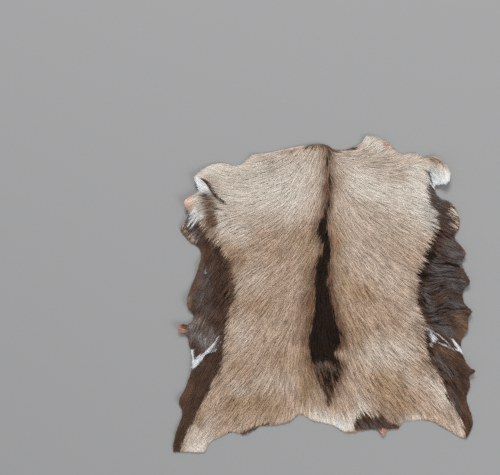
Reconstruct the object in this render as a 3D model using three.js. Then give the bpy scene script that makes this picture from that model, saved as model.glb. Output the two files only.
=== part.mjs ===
// A goatskin rug: one whole skin lying flat on the floor, hair side up.
// It is a single cut sheet, so it is a single solid: leather below, lying coat above.
// X runs to the skin's right side, Y to its neck and Z up. The origin is on the floor,
// under the middle of the skin. All sizes are in millimetres.

import * as THREE from "three";

// Thickness of the sheet
const LEATHER = 1.6;
const BACK_COAT = 8;
const BELLY_COAT = 4;
const RIM_COAT = 1.2;
const SPINE_CREST = 2.5;
const COAT_UNEVENNESS = 0.9;

// Widths of the bands over which the thickness and the lift change
const RIM_TAPER = 24;
const BELLY_BAND = 125;
const SPINE_CREST_WIDTH = 34;
const LIFT_REACH = 78;

// The lattice: steps between two rows of an edge table, and passes that even it out
const STEPS_PER_ROW = 2;
const RELAX_PASSES = 500;

// The cut edge, as four runs between the ends of the legs. Each row is a tip, a notch or a
// turn of the edge: where it lies, and how high its underside is lifted off the floor.
// Runs that face each other have equally many rows, because the lattice joins them.

// Neck edge, from the left foreleg to the right foreleg
const NECK_EDGE = [
  { x: -349, y: 327, lift: 8 },
  { x: -334, y: 341, lift: 8 },
  { x: -309, y: 356, lift: 5 },
  { x: -273, y: 361, lift: 4 },
  { x: -240, y: 352, lift: 2 },
  { x: -219, y: 361, lift: 3 },
  { x: -194, y: 384, lift: 5 },
  { x: -159, y: 389, lift: 2 },
  { x: -88, y: 404, lift: 3 },
  { x: -50, y: 411, lift: 4 },
  { x: -11, y: 415, lift: 6 },
  { x: 14, y: 410, lift: 4 },
  { x: 29, y: 400, lift: 2 },
  { x: 66, y: 400, lift: 1 },
  { x: 103, y: 415, lift: 4 },
  { x: 119, y: 433, lift: 7 },
  { x: 150, y: 431, lift: 6 },
  { x: 180, y: 415, lift: 5 },
  { x: 199, y: 395, lift: 2 },
  { x: 221, y: 384, lift: 2 },
  { x: 248, y: 388, lift: 4 },
  { x: 278, y: 377, lift: 2 },
  { x: 314, y: 382, lift: 8 },
  { x: 344, y: 354, lift: 13 },
];

// Rump edge, from the left hind leg to the right hind leg
const RUMP_EDGE = [
  { x: -415, y: -435, lift: 2 },
  { x: -371, y: -435, lift: 3 },
  { x: -327, y: -435, lift: 2 },
  { x: -316, y: -411, lift: 1 },
  { x: -281, y: -391, lift: 2 },
  { x: -251, y: -380, lift: 1 },
  { x: -215, y: -386, lift: 4 },
  { x: -173, y: -364, lift: 1 },
  { x: -145, y: -361, lift: 3 },
  { x: -95, y: -350, lift: 4 },
  { x: -63, y: -331, lift: 0 },
  { x: -28, y: -348, lift: 2 },
  { x: 22, y: -360, lift: 1 },
  { x: 66, y: -380, lift: 4 },
  { x: 110, y: -376, lift: 2 },
  { x: 150, y: -373, lift: 4 },
  { x: 164, y: -391, lift: 8 },
  { x: 177, y: -374, lift: 4 },
  { x: 206, y: -370, lift: 3 },
  { x: 221, y: -353, lift: 1 },
  { x: 288, y: -347, lift: 1 },
  { x: 333, y: -366, lift: 3 },
  { x: 377, y: -393, lift: 2 },
  { x: 397, y: -397, lift: 3 },
];

// Left flank, from the foreleg down to the hind leg
const LEFT_FLANK = [
  { x: -349, y: 327, lift: 8 },
  { x: -353, y: 312, lift: 15 },
  { x: -342, y: 284, lift: 17 },
  { x: -371, y: 267, lift: 15 },
  { x: -383, y: 254, lift: 16 },
  { x: -379, y: 237, lift: 12 },
  { x: -370, y: 229, lift: 9 },
  { x: -376, y: 208, lift: 8 },
  { x: -394, y: 183, lift: 4 },
  { x: -374, y: 154, lift: 5 },
  { x: -338, y: 121, lift: 2 },
  { x: -344, y: 75, lift: 6 },
  { x: -361, y: 28, lift: 2 },
  { x: -375, y: -10, lift: 8 },
  { x: -372, y: -37, lift: 9 },
  { x: -355, y: -65, lift: 3 },
  { x: -391, y: -79, lift: 10 },
  { x: -402, y: -94, lift: 14 },
  { x: -389, y: -109, lift: 10 },
  { x: -370, y: -138, lift: 3 },
  { x: -360, y: -190, lift: 7 },
  { x: -381, y: -260, lift: 2 },
  { x: -398, y: -294, lift: 6 },
  { x: -388, y: -327, lift: 2 },
  { x: -408, y: -388, lift: 6 },
  { x: -415, y: -435, lift: 2 },
];

// Right flank, from the foreleg down to the hind leg
const RIGHT_FLANK = [
  { x: 344, y: 354, lift: 13 },
  { x: 350, y: 331, lift: 24 },
  { x: 342, y: 309, lift: 20 },
  { x: 321, y: 303, lift: 12 },
  { x: 307, y: 290, lift: 3 },
  { x: 322, y: 264, lift: 3 },
  { x: 348, y: 255, lift: 5 },
  { x: 371, y: 229, lift: 9 },
  { x: 377, y: 187, lift: 4 },
  { x: 366, y: 163, lift: 9 },
  { x: 391, y: 112, lift: 12 },
  { x: 386, y: 86, lift: 4 },
  { x: 402, y: 36, lift: 11 },
  { x: 388, y: 8, lift: 3 },
  { x: 389, y: -25, lift: 6 },
  { x: 406, y: -46, lift: 12 },
  { x: 404, y: -104, lift: 8 },
  { x: 382, y: -126, lift: 3 },
  { x: 381, y: -152, lift: 5 },
  { x: 400, y: -200, lift: 10 },
  { x: 417, y: -210, lift: 15 },
  { x: 402, y: -227, lift: 9 },
  { x: 404, y: -254, lift: 9 },
  { x: 395, y: -284, lift: 2 },
  { x: 413, y: -356, lift: 7 },
  { x: 397, y: -397, lift: 3 },
];

// Soft folds that stand up from the floor, each along a straight crest from one end to the other
const FOLDS = [
  { name: "left foreleg, upper turn", from: [-352, 322], to: [-318, 288], width: 24, height: 8 },
  { name: "left foreleg, lower turn", from: [-318, 288], to: [-298, 252], width: 22, height: 7 },
  { name: "left foreleg, bare edge", from: [-383, 250], to: [-352, 232], width: 20, height: 4 },
  { name: "right foreleg curl", from: [318, 368], to: [334, 306], width: 27, height: 11 },
  { name: "left flank nub", from: [-402, -94], to: [-352, -90], width: 18, height: 6 },
  { name: "right flank upper cockle", from: [400, 112], to: [318, 96], width: 34, height: 4 },
  { name: "right flank middle cockle", from: [408, 36], to: [312, 12], width: 36, height: 5 },
  { name: "right flank lower cockle", from: [410, -60], to: [320, -74], width: 40, height: 5 },
  { name: "left flank upper cockle", from: [-350, 80], to: [-284, 64], width: 34, height: 4 },
  { name: "left flank middle cockle", from: [-378, -24], to: [-290, -8], width: 34, height: 5 },
  { name: "right hind leg point", from: [417, -210], to: [352, -196], width: 30, height: 5 },
  { name: "left hind leg cockle", from: [-400, -290], to: [-344, -276], width: 30, height: 4 },
];

const smoothStep = (t) => {
  const s = THREE.MathUtils.clamp(t, 0, 1);
  return s * s * (3 - 2 * s);
};

// One at the edge, falling smoothly to nothing at the reach
const fadeOver = (distance, reach) => smoothStep(1 - distance / reach);

// A run of the cut edge as evenly stepped points on a smooth curve through its rows.
// Z carries the lift.
function edgePoints(rows) {
  const through = rows.map(({ x, y, lift }) => new THREE.Vector3(x, y, lift));
  const curve = new THREE.CatmullRomCurve3(through, false, "centripetal");
  return curve.getPoints((rows.length - 1) * STEPS_PER_ROW);
}

// A four-sided lattice pinned at the cut edge. It starts as a blend of the four runs and is
// then relaxed: each inner knot moves to the mean of its neighbours, weighted by how far the
// lattice is stretched the other way, which evens it out and keeps its lines from crossing.
function skinLattice(neck, rump, left, right) {
  const across = neck.length - 1;
  const along = left.length - 1;
  const lattice = [];
  for (let j = 0; j <= along; j += 1) {
    const v = j / along;
    const row = [];
    for (let i = 0; i <= across; i += 1) {
      const u = i / across;
      const knot = new THREE.Vector3()
        .addScaledVector(neck[i], 1 - v)
        .addScaledVector(rump[i], v)
        .addScaledVector(left[j], 1 - u)
        .addScaledVector(right[j], u)
        .addScaledVector(neck[0], -(1 - u) * (1 - v))
        .addScaledVector(neck[across], -u * (1 - v))
        .addScaledVector(rump[0], -(1 - u) * v)
        .addScaledVector(rump[across], -u * v);
      row.push(knot);
    }
    lattice.push(row);
  }
  for (let pass = 0; pass < RELAX_PASSES; pass += 1) {
    for (let j = 1; j < along; j += 1) {
      for (let i = 1; i < across; i += 1) {
        const [above, here, below] = [lattice[j - 1], lattice[j], lattice[j + 1]];
        const acrossStep = here[i + 1].clone().sub(here[i - 1]).setZ(0);
        const alongStep = below[i].clone().sub(above[i]).setZ(0);
        const acrossWeight = alongStep.lengthSq();
        const alongWeight = acrossStep.lengthSq();
        const skew = acrossStep.dot(alongStep) / 2;
        here[i]
          .set(0, 0, 0)
          .addScaledVector(here[i - 1], acrossWeight)
          .addScaledVector(here[i + 1], acrossWeight)
          .addScaledVector(above[i], alongWeight)
          .addScaledVector(below[i], alongWeight)
          .addScaledVector(below[i + 1], -skew)
          .addScaledVector(below[i - 1], skew)
          .addScaledVector(above[i + 1], skew)
          .addScaledVector(above[i - 1], -skew)
          .divideScalar(2 * (acrossWeight + alongWeight));
      }
    }
  }
  return lattice;
}

const planDistance = (a, b) => Math.hypot(a.x - b.x, a.y - b.y);

// Lift carried in from the four edge points that a knot is in line with, each fading inwards
function liftFromEdges(knot, edgeKnots) {
  let weighted = 0;
  let total = 0;
  for (const edge of edgeKnots) {
    const weight = fadeOver(planDistance(knot, edge), LIFT_REACH);
    weighted += weight * weight * edge.z;
    total += weight;
  }
  return total > 0 ? weighted / total : 0;
}

// Height of the folds at a place: a rounded crest either side of each fold's line
function foldHeight(x, y) {
  let height = 0;
  for (const fold of FOLDS) {
    const start = new THREE.Vector2(...fold.from);
    const run = new THREE.Vector2(...fold.to).sub(start);
    const offset = new THREE.Vector2(x, y).sub(start);
    const t = THREE.MathUtils.clamp(offset.dot(run) / run.lengthSq(), 0, 1);
    const distance = offset.sub(run.multiplyScalar(t)).length();
    height += fold.height * fadeOver(distance, fold.width);
  }
  return height;
}

// Thickness of leather and lying coat: full on the back, thin on the belly and at the rim
function sheetThickness(knot, flankDistance, rimDistance) {
  const back = smoothStep(flankDistance / BELLY_BAND);
  const coat = BELLY_COAT + (BACK_COAT - BELLY_COAT) * back;
  const crest = SPINE_CREST * fadeOver(Math.abs(knot.x), SPINE_CREST_WIDTH);
  const uneven = COAT_UNEVENNESS * Math.sin(knot.x / 41) * Math.sin(knot.y / 57) * back;
  const inward = 1 - fadeOver(rimDistance, RIM_TAPER);
  return LEATHER + RIM_COAT + (coat + crest + uneven - RIM_COAT) * inward;
}

// The closed solid: underside lattice, top lattice and the rim between them
function skinGeometry() {
  const neck = edgePoints(NECK_EDGE);
  const rump = edgePoints(RUMP_EDGE);
  const left = edgePoints(LEFT_FLANK);
  const right = edgePoints(RIGHT_FLANK);
  const lattice = skinLattice(neck, rump, left, right);
  const rim = [...neck, ...rump, ...left, ...right];
  const across = neck.length - 1;
  const along = left.length - 1;

  const under = [];
  const top = [];
  lattice.forEach((row, j) => {
    row.forEach((knot, i) => {
      const lift = liftFromEdges(knot, [neck[i], rump[i], left[j], right[j]]);
      const floorGap = lift + foldHeight(knot.x, knot.y);
      const flankDistance = Math.min(planDistance(knot, left[j]), planDistance(knot, right[j]));
      const rimDistance = Math.min(...rim.map((edge) => planDistance(knot, edge)));
      const thickness = sheetThickness(knot, flankDistance, rimDistance);
      under.push(knot.x, knot.y, floorGap);
      top.push(knot.x, knot.y, floorGap + thickness);
    });
  });

  const rowLength = across + 1;
  const topStart = rowLength * (along + 1);
  const faces = [];
  for (let j = 0; j < along; j += 1) {
    for (let i = 0; i < across; i += 1) {
      const a = j * rowLength + i;
      const b = a + rowLength;
      const c = b + 1;
      const d = a + 1;
      faces.push(topStart + a, topStart + b, topStart + c, topStart + a, topStart + c, topStart + d);
      faces.push(a, c, b, a, d, c);
    }
  }

  // The rim, walked anticlockwise as seen from above
  const loop = [];
  for (let j = 0; j < along; j += 1) loop.push(j * rowLength);
  for (let i = 0; i < across; i += 1) loop.push(along * rowLength + i);
  for (let j = along; j > 0; j -= 1) loop.push(j * rowLength + across);
  for (let i = across; i > 0; i -= 1) loop.push(i);
  loop.forEach((here, k) => {
    const next = loop[(k + 1) % loop.length];
    faces.push(topStart + here, here, next, topStart + here, next, topStart + next);
  });

  const geometry = new THREE.BufferGeometry();
  geometry.setAttribute("position", new THREE.Float32BufferAttribute([...under, ...top], 3));
  geometry.setIndex(faces);
  geometry.computeBoundingBox();
  const middle = geometry.boundingBox.getCenter(new THREE.Vector3());
  geometry.translate(-middle.x, -middle.y, -geometry.boundingBox.min.z);
  geometry.computeVertexNormals();
  return geometry;
}

const coatMaterial = new THREE.MeshStandardMaterial({
  color: new THREE.Color(0.67, 0.56, 0.47),
  roughness: 0.85,
  metalness: 0,
});

const goatskin = new THREE.Mesh(skinGeometry(), coatMaterial);
goatskin.name = "goatskin";

const group = new THREE.Group();
group.add(goatskin);

export default group;
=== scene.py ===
"""A goatskin rug, dressed: one whole skin lying flat on the floor, hair side up.

The solid of the frame gives the skin's size and place. Here it becomes a thin tanned sheet on
the same folds, and a coat of lying hair on that sheet. The hair is several meshes of small
tapered blades, worked out as whole arrays. X runs to the skin's right side, Y to its neck and
Z up. All sizes are in metres.
"""

import math

import bpy
import numpy as np
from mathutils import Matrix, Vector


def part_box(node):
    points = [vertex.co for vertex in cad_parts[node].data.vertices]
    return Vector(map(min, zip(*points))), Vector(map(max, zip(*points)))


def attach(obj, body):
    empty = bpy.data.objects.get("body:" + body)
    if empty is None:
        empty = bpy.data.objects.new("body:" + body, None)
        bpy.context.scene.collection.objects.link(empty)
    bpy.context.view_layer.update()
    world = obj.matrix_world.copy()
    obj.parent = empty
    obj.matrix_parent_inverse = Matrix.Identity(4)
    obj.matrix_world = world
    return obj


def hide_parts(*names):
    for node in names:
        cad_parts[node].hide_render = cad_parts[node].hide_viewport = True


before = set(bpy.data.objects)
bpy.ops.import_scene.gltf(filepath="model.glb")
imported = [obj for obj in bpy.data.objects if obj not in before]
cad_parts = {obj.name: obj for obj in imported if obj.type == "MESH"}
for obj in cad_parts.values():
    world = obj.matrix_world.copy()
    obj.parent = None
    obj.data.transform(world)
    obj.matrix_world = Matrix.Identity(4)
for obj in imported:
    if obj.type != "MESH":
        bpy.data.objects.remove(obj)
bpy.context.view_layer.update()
skin_low, skin_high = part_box("goatskin")

# Thickness of the leather and height of the coat on it, as in the solid's own source
LEATHER = 0.0016
BACK_COAT = 0.008
BELLY_COAT = 0.004
BELLY_BAND = 0.125
RIM_COAT = 0.0012
RIM_TAPER = 0.024
SPINE_CREST = 0.0025
SPINE_CREST_WIDTH = 0.034

# How far the edge's lift is carried into the skin, as in the solid's own source
LIFT_REACH = 0.078

# The cut edge is drawn in to this share, to leave room for the hair that hangs over it
DRAWN_IN = 0.994

# The lattice of the tanned sheet
STEPS_PER_ROW = 4
RELAX_PASSES = 1500

# The sheet's map: the hair side below, the rim's strip between, the flesh side above
HAIR_SIDE_TOP = 0.485
RIM_STRIP = (0.490, 0.505)
FLESH_SIDE_FOOT = 0.51

# The plan: an even net of places that carries every quantity the hair asks for, and how it is
# filled from the lattice and the edge
PLAN_STEP = 0.002
PLAN_HALF_WIDTH = 0.460
PLAN_HALF_LENGTH = 0.480
NEIGHBOURS = ((1, 0), (-1, 0), (0, 1), (0, -1))
LATTICE_CUTS = 6
CLOSING_RINGS = 2
FILL_RINGS = 24
EDGE_CUTS = 5
WIDEST_JUMP = 256
FAR_AWAY = 9.0

# Nicks in the rim of the coat: depth, size and seed of the long ones and of the short ones
LONG_NICKS = (0.0018, 0.011, 5)
SHORT_NICKS = (0.0010, 0.0052, 6)

# The hairs: how many, how long and wide, how near to the rim, how deep in the leather one is
# rooted, and how far it keeps off the floor
COAT_SEED = 20
BLADES_IN_ALL = 305000
BLADE_PITCH = 0.00133
BACK_HAIR = 0.028
BELLY_HAIR = 0.018
HAIR_LENGTHS = (0.80, 1.10)
HAIR_WIDTH = 0.00066
HAIR_WIDTHS = (0.70, 1.30)
ROOT_WIDTH = 0.80
ROOT_INSET = 0.0012
ROOT_SUNK = 0.0002
FLOOR_GAP = 0.0006

# The locks: size, how many net squares each way a hair looks for its own, how far hairs are
# drawn to the middle line at the tip and at the bend, and how locks differ
LOCK_PITCH = 0.0068
LOCK_SLENDERNESS = 6.0
LOCK_WINDOW = 3
LOCK_MARGIN = 2
GATHER = 0.70
BEND_GATHER = 0.45
LOCK_TURN = math.radians(3.0)
LOCK_LENGTHS = (0.80, 1.15)

# Hairs turn a little from the comb, each on its own and in drifts. A few are wild.
HAIR_TURN = math.radians(2.5)
DRIFT_TURN = math.radians(5)
DRIFT_SIZE = 0.045
DRIFT_SEED = 3
WILD_SHARE = 0.06
WILD_TURN = 5
WILD_GATHER = 0.20
HAIR_ROLL = math.radians(28)

# How high a hair rises in the coat: at least, more by its streak, more by its lock, the spread
# among hairs, and the share of it at the bend
LEAST_HEIGHT = 0.50
STREAK_HEIGHT = 0.25
LOCK_HEIGHT = 0.25
RISES = (0.55, 1.05)
BEND_RISE = 0.62

# How far inside the cut edge hairs end, below nothing beyond it, the share of a hair that is
# left at least, and how far a tip hangs for its way beyond the edge
TIP_INSETS = (-0.0025, 0.0045)
SHORTEST_SHARE = 0.25
HANG = 0.8

# Where along itself a hair takes its markings, what share of that holds at the rim, and how
# far in the whole of it holds
SHOW_AT = 0.62
SHOW_AT_RIM = 0.20
SHOW_REACH = 0.014

# Streaks of unlike tone along the hair: the size of their grain, how far they run, and how
# they make up the tone, of which the middle is where the coat is calm
FINE_GRAIN = 0.0015
BROAD_GRAIN = 0.0042
STREAK_REACH = 0.014
STREAK_STEP = 0.0014
FINE_POWER = 1.4
BROAD_SHARE = 0.20
BROAD_SHARE_BELLY = 0.35
MIDDLE_TONE = 0.45

# A streak's threshold for the markings: shares of the fine and broad streaks and of the hair's
# own number, then the lowest, the span and how gradually a hair turns
FINE_VOICE = 0.50
BROAD_VOICE = 0.35
OWN_VOICE = 0.15
LOWEST_THRESHOLD = 0.15
THRESHOLD_SPAN = 0.70
THRESHOLD_EDGE = 0.30

# Brown haze at the rim
RIM_HAZE = 0.30
RIM_HAZE_REACH = 0.006

# The waves that clouds are made of: how many, and their length as a share of the clouds' size
CLOUD_WAVES = 9
CLOUD_PITCHES = (0.6, 1.6)

# A blade has two points at its root, two at its bend and one at its tip: its three triangles,
# how far along each point is, and its places in its own cell of the map
BLADE_POINTS = 5
BLADE_FACES = np.array([0, 2, 3, 0, 3, 1, 2, 4, 3])
BLADE_ALONG = [0.0, 0.0, 0.5, 0.5, 1.0]
CELLS = 256
CELL_OVER = np.array([0.15, 0.15, 0.50, 0.50, 0.85])
CELL_UP = np.array([0.25, 0.75, 0.20, 0.80, 0.50])

# The coat's markings in the order in which the meshes carry them, and those that streaks take
MARKING_NAMES = ("sooty", "umber", "pale", "fawn", "rust", "white", "slate", "bare", "hazel")
STREAKED_NAMES = ("sooty", "umber", "white", "rust", "hazel")
COAT_NAMES = (
    "coat_left_flank",
    "coat_left_back",
    "coat_spine",
    "coat_right_back",
    "coat_right_flank",
)

# The coat's colours as read off a screen, the shade and the light of each
TAN = ((134, 108, 87), (228, 203, 181))
CREAM = ((190, 177, 161), (247, 239, 228))
FAWN = ((120, 94, 73), (204, 172, 139))
HAZEL = ((64, 45, 34), (150, 116, 91))
UMBER = ((38, 26, 20), (106, 79, 63))
SOOT = ((13, 8, 5), (47, 32, 22))
# Painted sheen and shade: a grey for the light that dark hair reflects, and for shade in creases
SHEEN_AND_SHADE = ((38, 35, 35), (130, 124, 124))
RUST = ((146, 97, 76), (222, 168, 142))
WHITE = ((190, 196, 198), (252, 253, 253))

# Painted sheen and shade tells more on light hair: its share on the darkest, and what the
# lightest adds
SHEEN_AND_SHADE_ON_DARK = 0.3
SHEEN_AND_SHADE_ON_LIGHT = 0.7

# The other colours: bare skin, the suede of the flesh side, and the floor
SKIN_PINK = (222, 180, 162)
SUEDE = (205, 184, 156)
SUEDE_LIGHT = (222, 203, 176)
SUEDE_GRAIN = (176, 150, 120)
FLOOR_GREY = (136, 136, 136)

# What makes up the tone of a hair, how much of its colour shows at its root, and how much
# more at its tip
STREAK_PART = 0.85
HAIR_PART = 0.12
MOTTLE_PART = 0.12
MOTTLE_SCALE = 26.0
ROOT_LIGHT = 0.75
TIP_LIGHT = 0.24

# The leather: its grain and clouds, the undercoat's tone, and how much the grain shows
GRAIN_SCALE = 320.0
CLOUD_SCALE = 14.0
UNDERCOAT_TONE = 0.5
GRAIN_PART = 0.35
GRAIN_DEPTH = 0.0006

# The view from straight above: the lens, and the width and the middle of what it takes in
LENS = 85.0
SENSOR = 36.0
VIEW_WIDTH = 1.375
VIEW_MIDDLE = (-0.202, 0.157)

# The floor and the soft light: name, place, size and power of each lamp, and the air's light
FLOOR_HALF = 6.0
LAMPS = [
    ("key", (-0.7, 5.0, 5.4), 2.6, 480),
    ("fill", (2.6, -2.2, 3.0), 2.4, 85),
]
AIR_COLOUR = (0.86, 0.88, 0.90, 1)
AIR_STRENGTH = 0.60

# The cut edge, as four runs between the ends of the legs: x, y and the lift of the underside
NECK_EDGE = [
    (-0.349, 0.327, 0.008),
    (-0.334, 0.341, 0.008),
    (-0.309, 0.356, 0.005),
    (-0.273, 0.361, 0.004),
    (-0.240, 0.352, 0.002),
    (-0.219, 0.361, 0.003),
    (-0.194, 0.384, 0.005),
    (-0.159, 0.389, 0.002),
    (-0.088, 0.404, 0.003),
    (-0.050, 0.411, 0.004),
    (-0.011, 0.415, 0.006),
    (0.014, 0.410, 0.004),
    (0.029, 0.400, 0.002),
    (0.066, 0.400, 0.001),
    (0.103, 0.415, 0.004),
    (0.119, 0.433, 0.007),
    (0.150, 0.431, 0.006),
    (0.180, 0.415, 0.005),
    (0.199, 0.395, 0.002),
    (0.221, 0.384, 0.002),
    (0.248, 0.388, 0.004),
    (0.278, 0.377, 0.002),
    (0.310, 0.380, 0.008),
    (0.340, 0.352, 0.013),
]
RUMP_EDGE = [
    (-0.415, -0.435, 0.002),
    (-0.371, -0.435, 0.003),
    (-0.327, -0.435, 0.002),
    (-0.316, -0.411, 0.001),
    (-0.281, -0.391, 0.002),
    (-0.251, -0.380, 0.001),
    (-0.215, -0.386, 0.004),
    (-0.173, -0.364, 0.001),
    (-0.145, -0.361, 0.003),
    (-0.095, -0.350, 0.004),
    (-0.063, -0.331, 0.000),
    (-0.028, -0.348, 0.002),
    (0.022, -0.360, 0.001),
    (0.066, -0.380, 0.004),
    (0.110, -0.376, 0.002),
    (0.150, -0.373, 0.004),
    (0.164, -0.391, 0.008),
    (0.177, -0.374, 0.004),
    (0.206, -0.370, 0.003),
    (0.221, -0.353, 0.001),
    (0.288, -0.347, 0.001),
    (0.333, -0.366, 0.003),
    (0.377, -0.393, 0.002),
    (0.397, -0.397, 0.003),
]
LEFT_FLANK = [
    (-0.349, 0.327, 0.008),
    (-0.353, 0.312, 0.015),
    (-0.342, 0.284, 0.017),
    (-0.371, 0.267, 0.015),
    (-0.383, 0.254, 0.016),
    (-0.379, 0.237, 0.012),
    (-0.370, 0.229, 0.009),
    (-0.376, 0.208, 0.008),
    (-0.394, 0.183, 0.004),
    (-0.374, 0.154, 0.005),
    (-0.338, 0.121, 0.002),
    (-0.344, 0.075, 0.006),
    (-0.361, 0.028, 0.002),
    (-0.375, -0.010, 0.008),
    (-0.372, -0.037, 0.009),
    (-0.354, -0.062, 0.003),
    (-0.362, -0.074, 0.005),
    (-0.371, -0.084, 0.007),
    (-0.389, -0.083, 0.010),
    (-0.402, -0.094, 0.013),
    (-0.389, -0.108, 0.009),
    (-0.373, -0.113, 0.005),
    (-0.371, -0.134, 0.003),
    (-0.360, -0.190, 0.007),
    (-0.381, -0.260, 0.002),
    (-0.398, -0.294, 0.006),
    (-0.388, -0.327, 0.002),
    (-0.408, -0.388, 0.006),
    (-0.415, -0.435, 0.002),
]
RIGHT_FLANK = [
    (0.340, 0.352, 0.013),
    (0.348, 0.331, 0.024),
    (0.340, 0.309, 0.020),
    (0.321, 0.303, 0.012),
    (0.307, 0.290, 0.003),
    (0.322, 0.264, 0.003),
    (0.348, 0.255, 0.005),
    (0.368, 0.229, 0.009),
    (0.376, 0.190, 0.004),
    (0.360, 0.156, 0.007),
    (0.377, 0.136, 0.009),
    (0.391, 0.112, 0.012),
    (0.382, 0.086, 0.004),
    (0.391, 0.060, 0.008),
    (0.403, 0.033, 0.011),
    (0.386, 0.008, 0.003),
    (0.389, -0.025, 0.006),
    (0.408, -0.048, 0.012),
    (0.399, -0.062, 0.010),
    (0.398, -0.100, 0.008),
    (0.382, -0.126, 0.003),
    (0.381, -0.152, 0.005),
    (0.400, -0.200, 0.010),
    (0.417, -0.210, 0.015),
    (0.402, -0.227, 0.009),
    (0.404, -0.254, 0.009),
    (0.395, -0.284, 0.002),
    (0.413, -0.356, 0.007),
    (0.397, -0.397, 0.003),
]

# Soft folds: crest from x, y to x, y, then width and height
FOLDS = [
    (-0.352, 0.322, -0.318, 0.288, 0.024, 0.008),
    (-0.318, 0.288, -0.298, 0.252, 0.022, 0.007),
    (-0.383, 0.250, -0.352, 0.232, 0.020, 0.004),
    (0.318, 0.368, 0.334, 0.306, 0.027, 0.011),
    (-0.402, -0.094, -0.352, -0.090, 0.018, 0.006),
    (0.400, 0.112, 0.318, 0.096, 0.034, 0.004),
    (0.408, 0.036, 0.312, 0.012, 0.036, 0.005),
    (0.410, -0.060, 0.320, -0.074, 0.040, 0.005),
    (-0.350, 0.080, -0.284, 0.064, 0.034, 0.004),
    (-0.378, -0.024, -0.290, -0.008, 0.034, 0.005),
    (0.417, -0.210, 0.352, -0.196, 0.030, 0.005),
    (-0.400, -0.290, -0.344, -0.276, 0.030, 0.004),
]

# Creases of the coat, from x, y to x, y: hair that comes from the left-hand side ends there
CREASES = [
    (-0.352, 0.326, -0.329, 0.311),
    (-0.329, 0.311, -0.315, 0.295),
    (-0.315, 0.295, -0.308, 0.281),
    (-0.308, 0.281, -0.297, 0.268),
    (-0.297, 0.268, -0.280, 0.252),
    (0.302, 0.296, 0.290, 0.345),
    (0.300, 0.086, 0.385, 0.082),
    (0.322, 0.014, 0.390, 0.008),
    (0.316, -0.046, 0.400, -0.036),
]

# The spine stripe: y, its left side, its right side and how dark it is there
STRIPE = [
    (0.396, 0.008, 0.022, 0.38),
    (0.377, 0.001, 0.017, 0.38),
    (0.360, 0.004, 0.018, 0.40),
    (0.346, 0.007, 0.020, 0.46),
    (0.327, 0.011, 0.028, 0.46),
    (0.314, 0.012, 0.030, 0.50),
    (0.300, 0.008, 0.023, 0.58),
    (0.286, 0.006, 0.019, 0.68),
    (0.259, 0.005, 0.019, 0.72),
    (0.236, 0.004, 0.017, 0.76),
    (0.220, -0.001, 0.014, 0.82),
    (0.209, -0.005, 0.014, 0.88),
    (0.198, -0.015, 0.012, 0.95),
    (0.176, -0.018, 0.012, 1.00),
    (0.162, -0.016, 0.016, 1.00),
    (0.143, -0.005, 0.022, 1.00),
    (0.124, 0.000, 0.023, 1.00),
    (0.110, -0.005, 0.021, 1.00),
    (0.096, -0.018, 0.017, 1.00),
    (0.082, -0.020, 0.015, 1.00),
    (0.025, -0.022, 0.014, 1.00),
    (-0.017, -0.023, 0.021, 1.00),
    (-0.049, -0.024, 0.029, 1.00),
    (-0.085, -0.032, 0.041, 1.00),
    (-0.110, -0.036, 0.048, 1.00),
    (-0.143, -0.040, 0.047, 1.00),
    (-0.161, -0.038, 0.032, 1.00),
    (-0.173, -0.036, 0.036, 1.00),
    (-0.186, -0.032, 0.054, 0.80),
    (-0.206, -0.024, 0.051, 0.50),
    (-0.228, -0.018, 0.044, 0.50),
    (-0.259, -0.004, 0.033, 0.50),
    (-0.291, 0.008, 0.021, 0.50),
    (-0.312, 0.013, 0.017, 0.30),
]

# How soft the stripe's sides are, and the reach and strength of the brown glow beside it
STRIPE_SOFTNESS = 0.018
GLOW_REACH = 0.028
GLOW_STRENGTH = 0.85

# The brown band along the belly's border: its reach, how far its middle is set in from the
# border towards the spine, and its strength on the left and the right side
BAND_REACH = 0.013
BAND_INSET = 0.004
LEFT_BAND = 0.34
RIGHT_BAND = 0.22

# Where the tan back ends and the dark belly hair begins on each side: y, x and how wide the
# streaky change is
LEFT_BORDER = [
    (0.206, -0.336, 0.060),
    (0.190, -0.328, 0.052),
    (0.162, -0.312, 0.048),
    (0.127, -0.282, 0.030),
    (0.088, -0.250, 0.020),
    (0.052, -0.246, 0.020),
    (0.022, -0.240, 0.020),
    (-0.015, -0.240, 0.020),
    (-0.029, -0.247, 0.020),
    (-0.060, -0.261, 0.023),
    (-0.091, -0.265, 0.023),
    (-0.127, -0.267, 0.023),
    (-0.161, -0.270, 0.023),
    (-0.198, -0.279, 0.023),
    (-0.228, -0.294, 0.023),
    (-0.271, -0.314, 0.023),
    (-0.311, -0.336, 0.023),
    (-0.351, -0.357, 0.023),
    (-0.388, -0.377, 0.020),
    (-0.431, -0.392, 0.014),
]
RIGHT_BORDER = [
    (0.300, 0.292, 0.014),
    (0.280, 0.300, 0.022),
    (0.262, 0.300, 0.050),
    (0.220, 0.312, 0.080),
    (0.190, 0.308, 0.070),
    (0.160, 0.300, 0.044),
    (0.129, 0.289, 0.020),
    (0.104, 0.283, 0.020),
    (0.058, 0.268, 0.018),
    (0.027, 0.256, 0.018),
    (-0.003, 0.256, 0.020),
    (-0.032, 0.257, 0.022),
    (-0.049, 0.265, 0.024),
    (-0.081, 0.277, 0.026),
    (-0.104, 0.275, 0.028),
    (-0.136, 0.276, 0.026),
    (-0.173, 0.285, 0.028),
    (-0.201, 0.300, 0.028),
    (-0.228, 0.320, 0.028),
    (-0.259, 0.330, 0.028),
    (-0.300, 0.349, 0.026),
    (-0.346, 0.378, 0.020),
    (-0.380, 0.389, 0.014),
]

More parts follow.
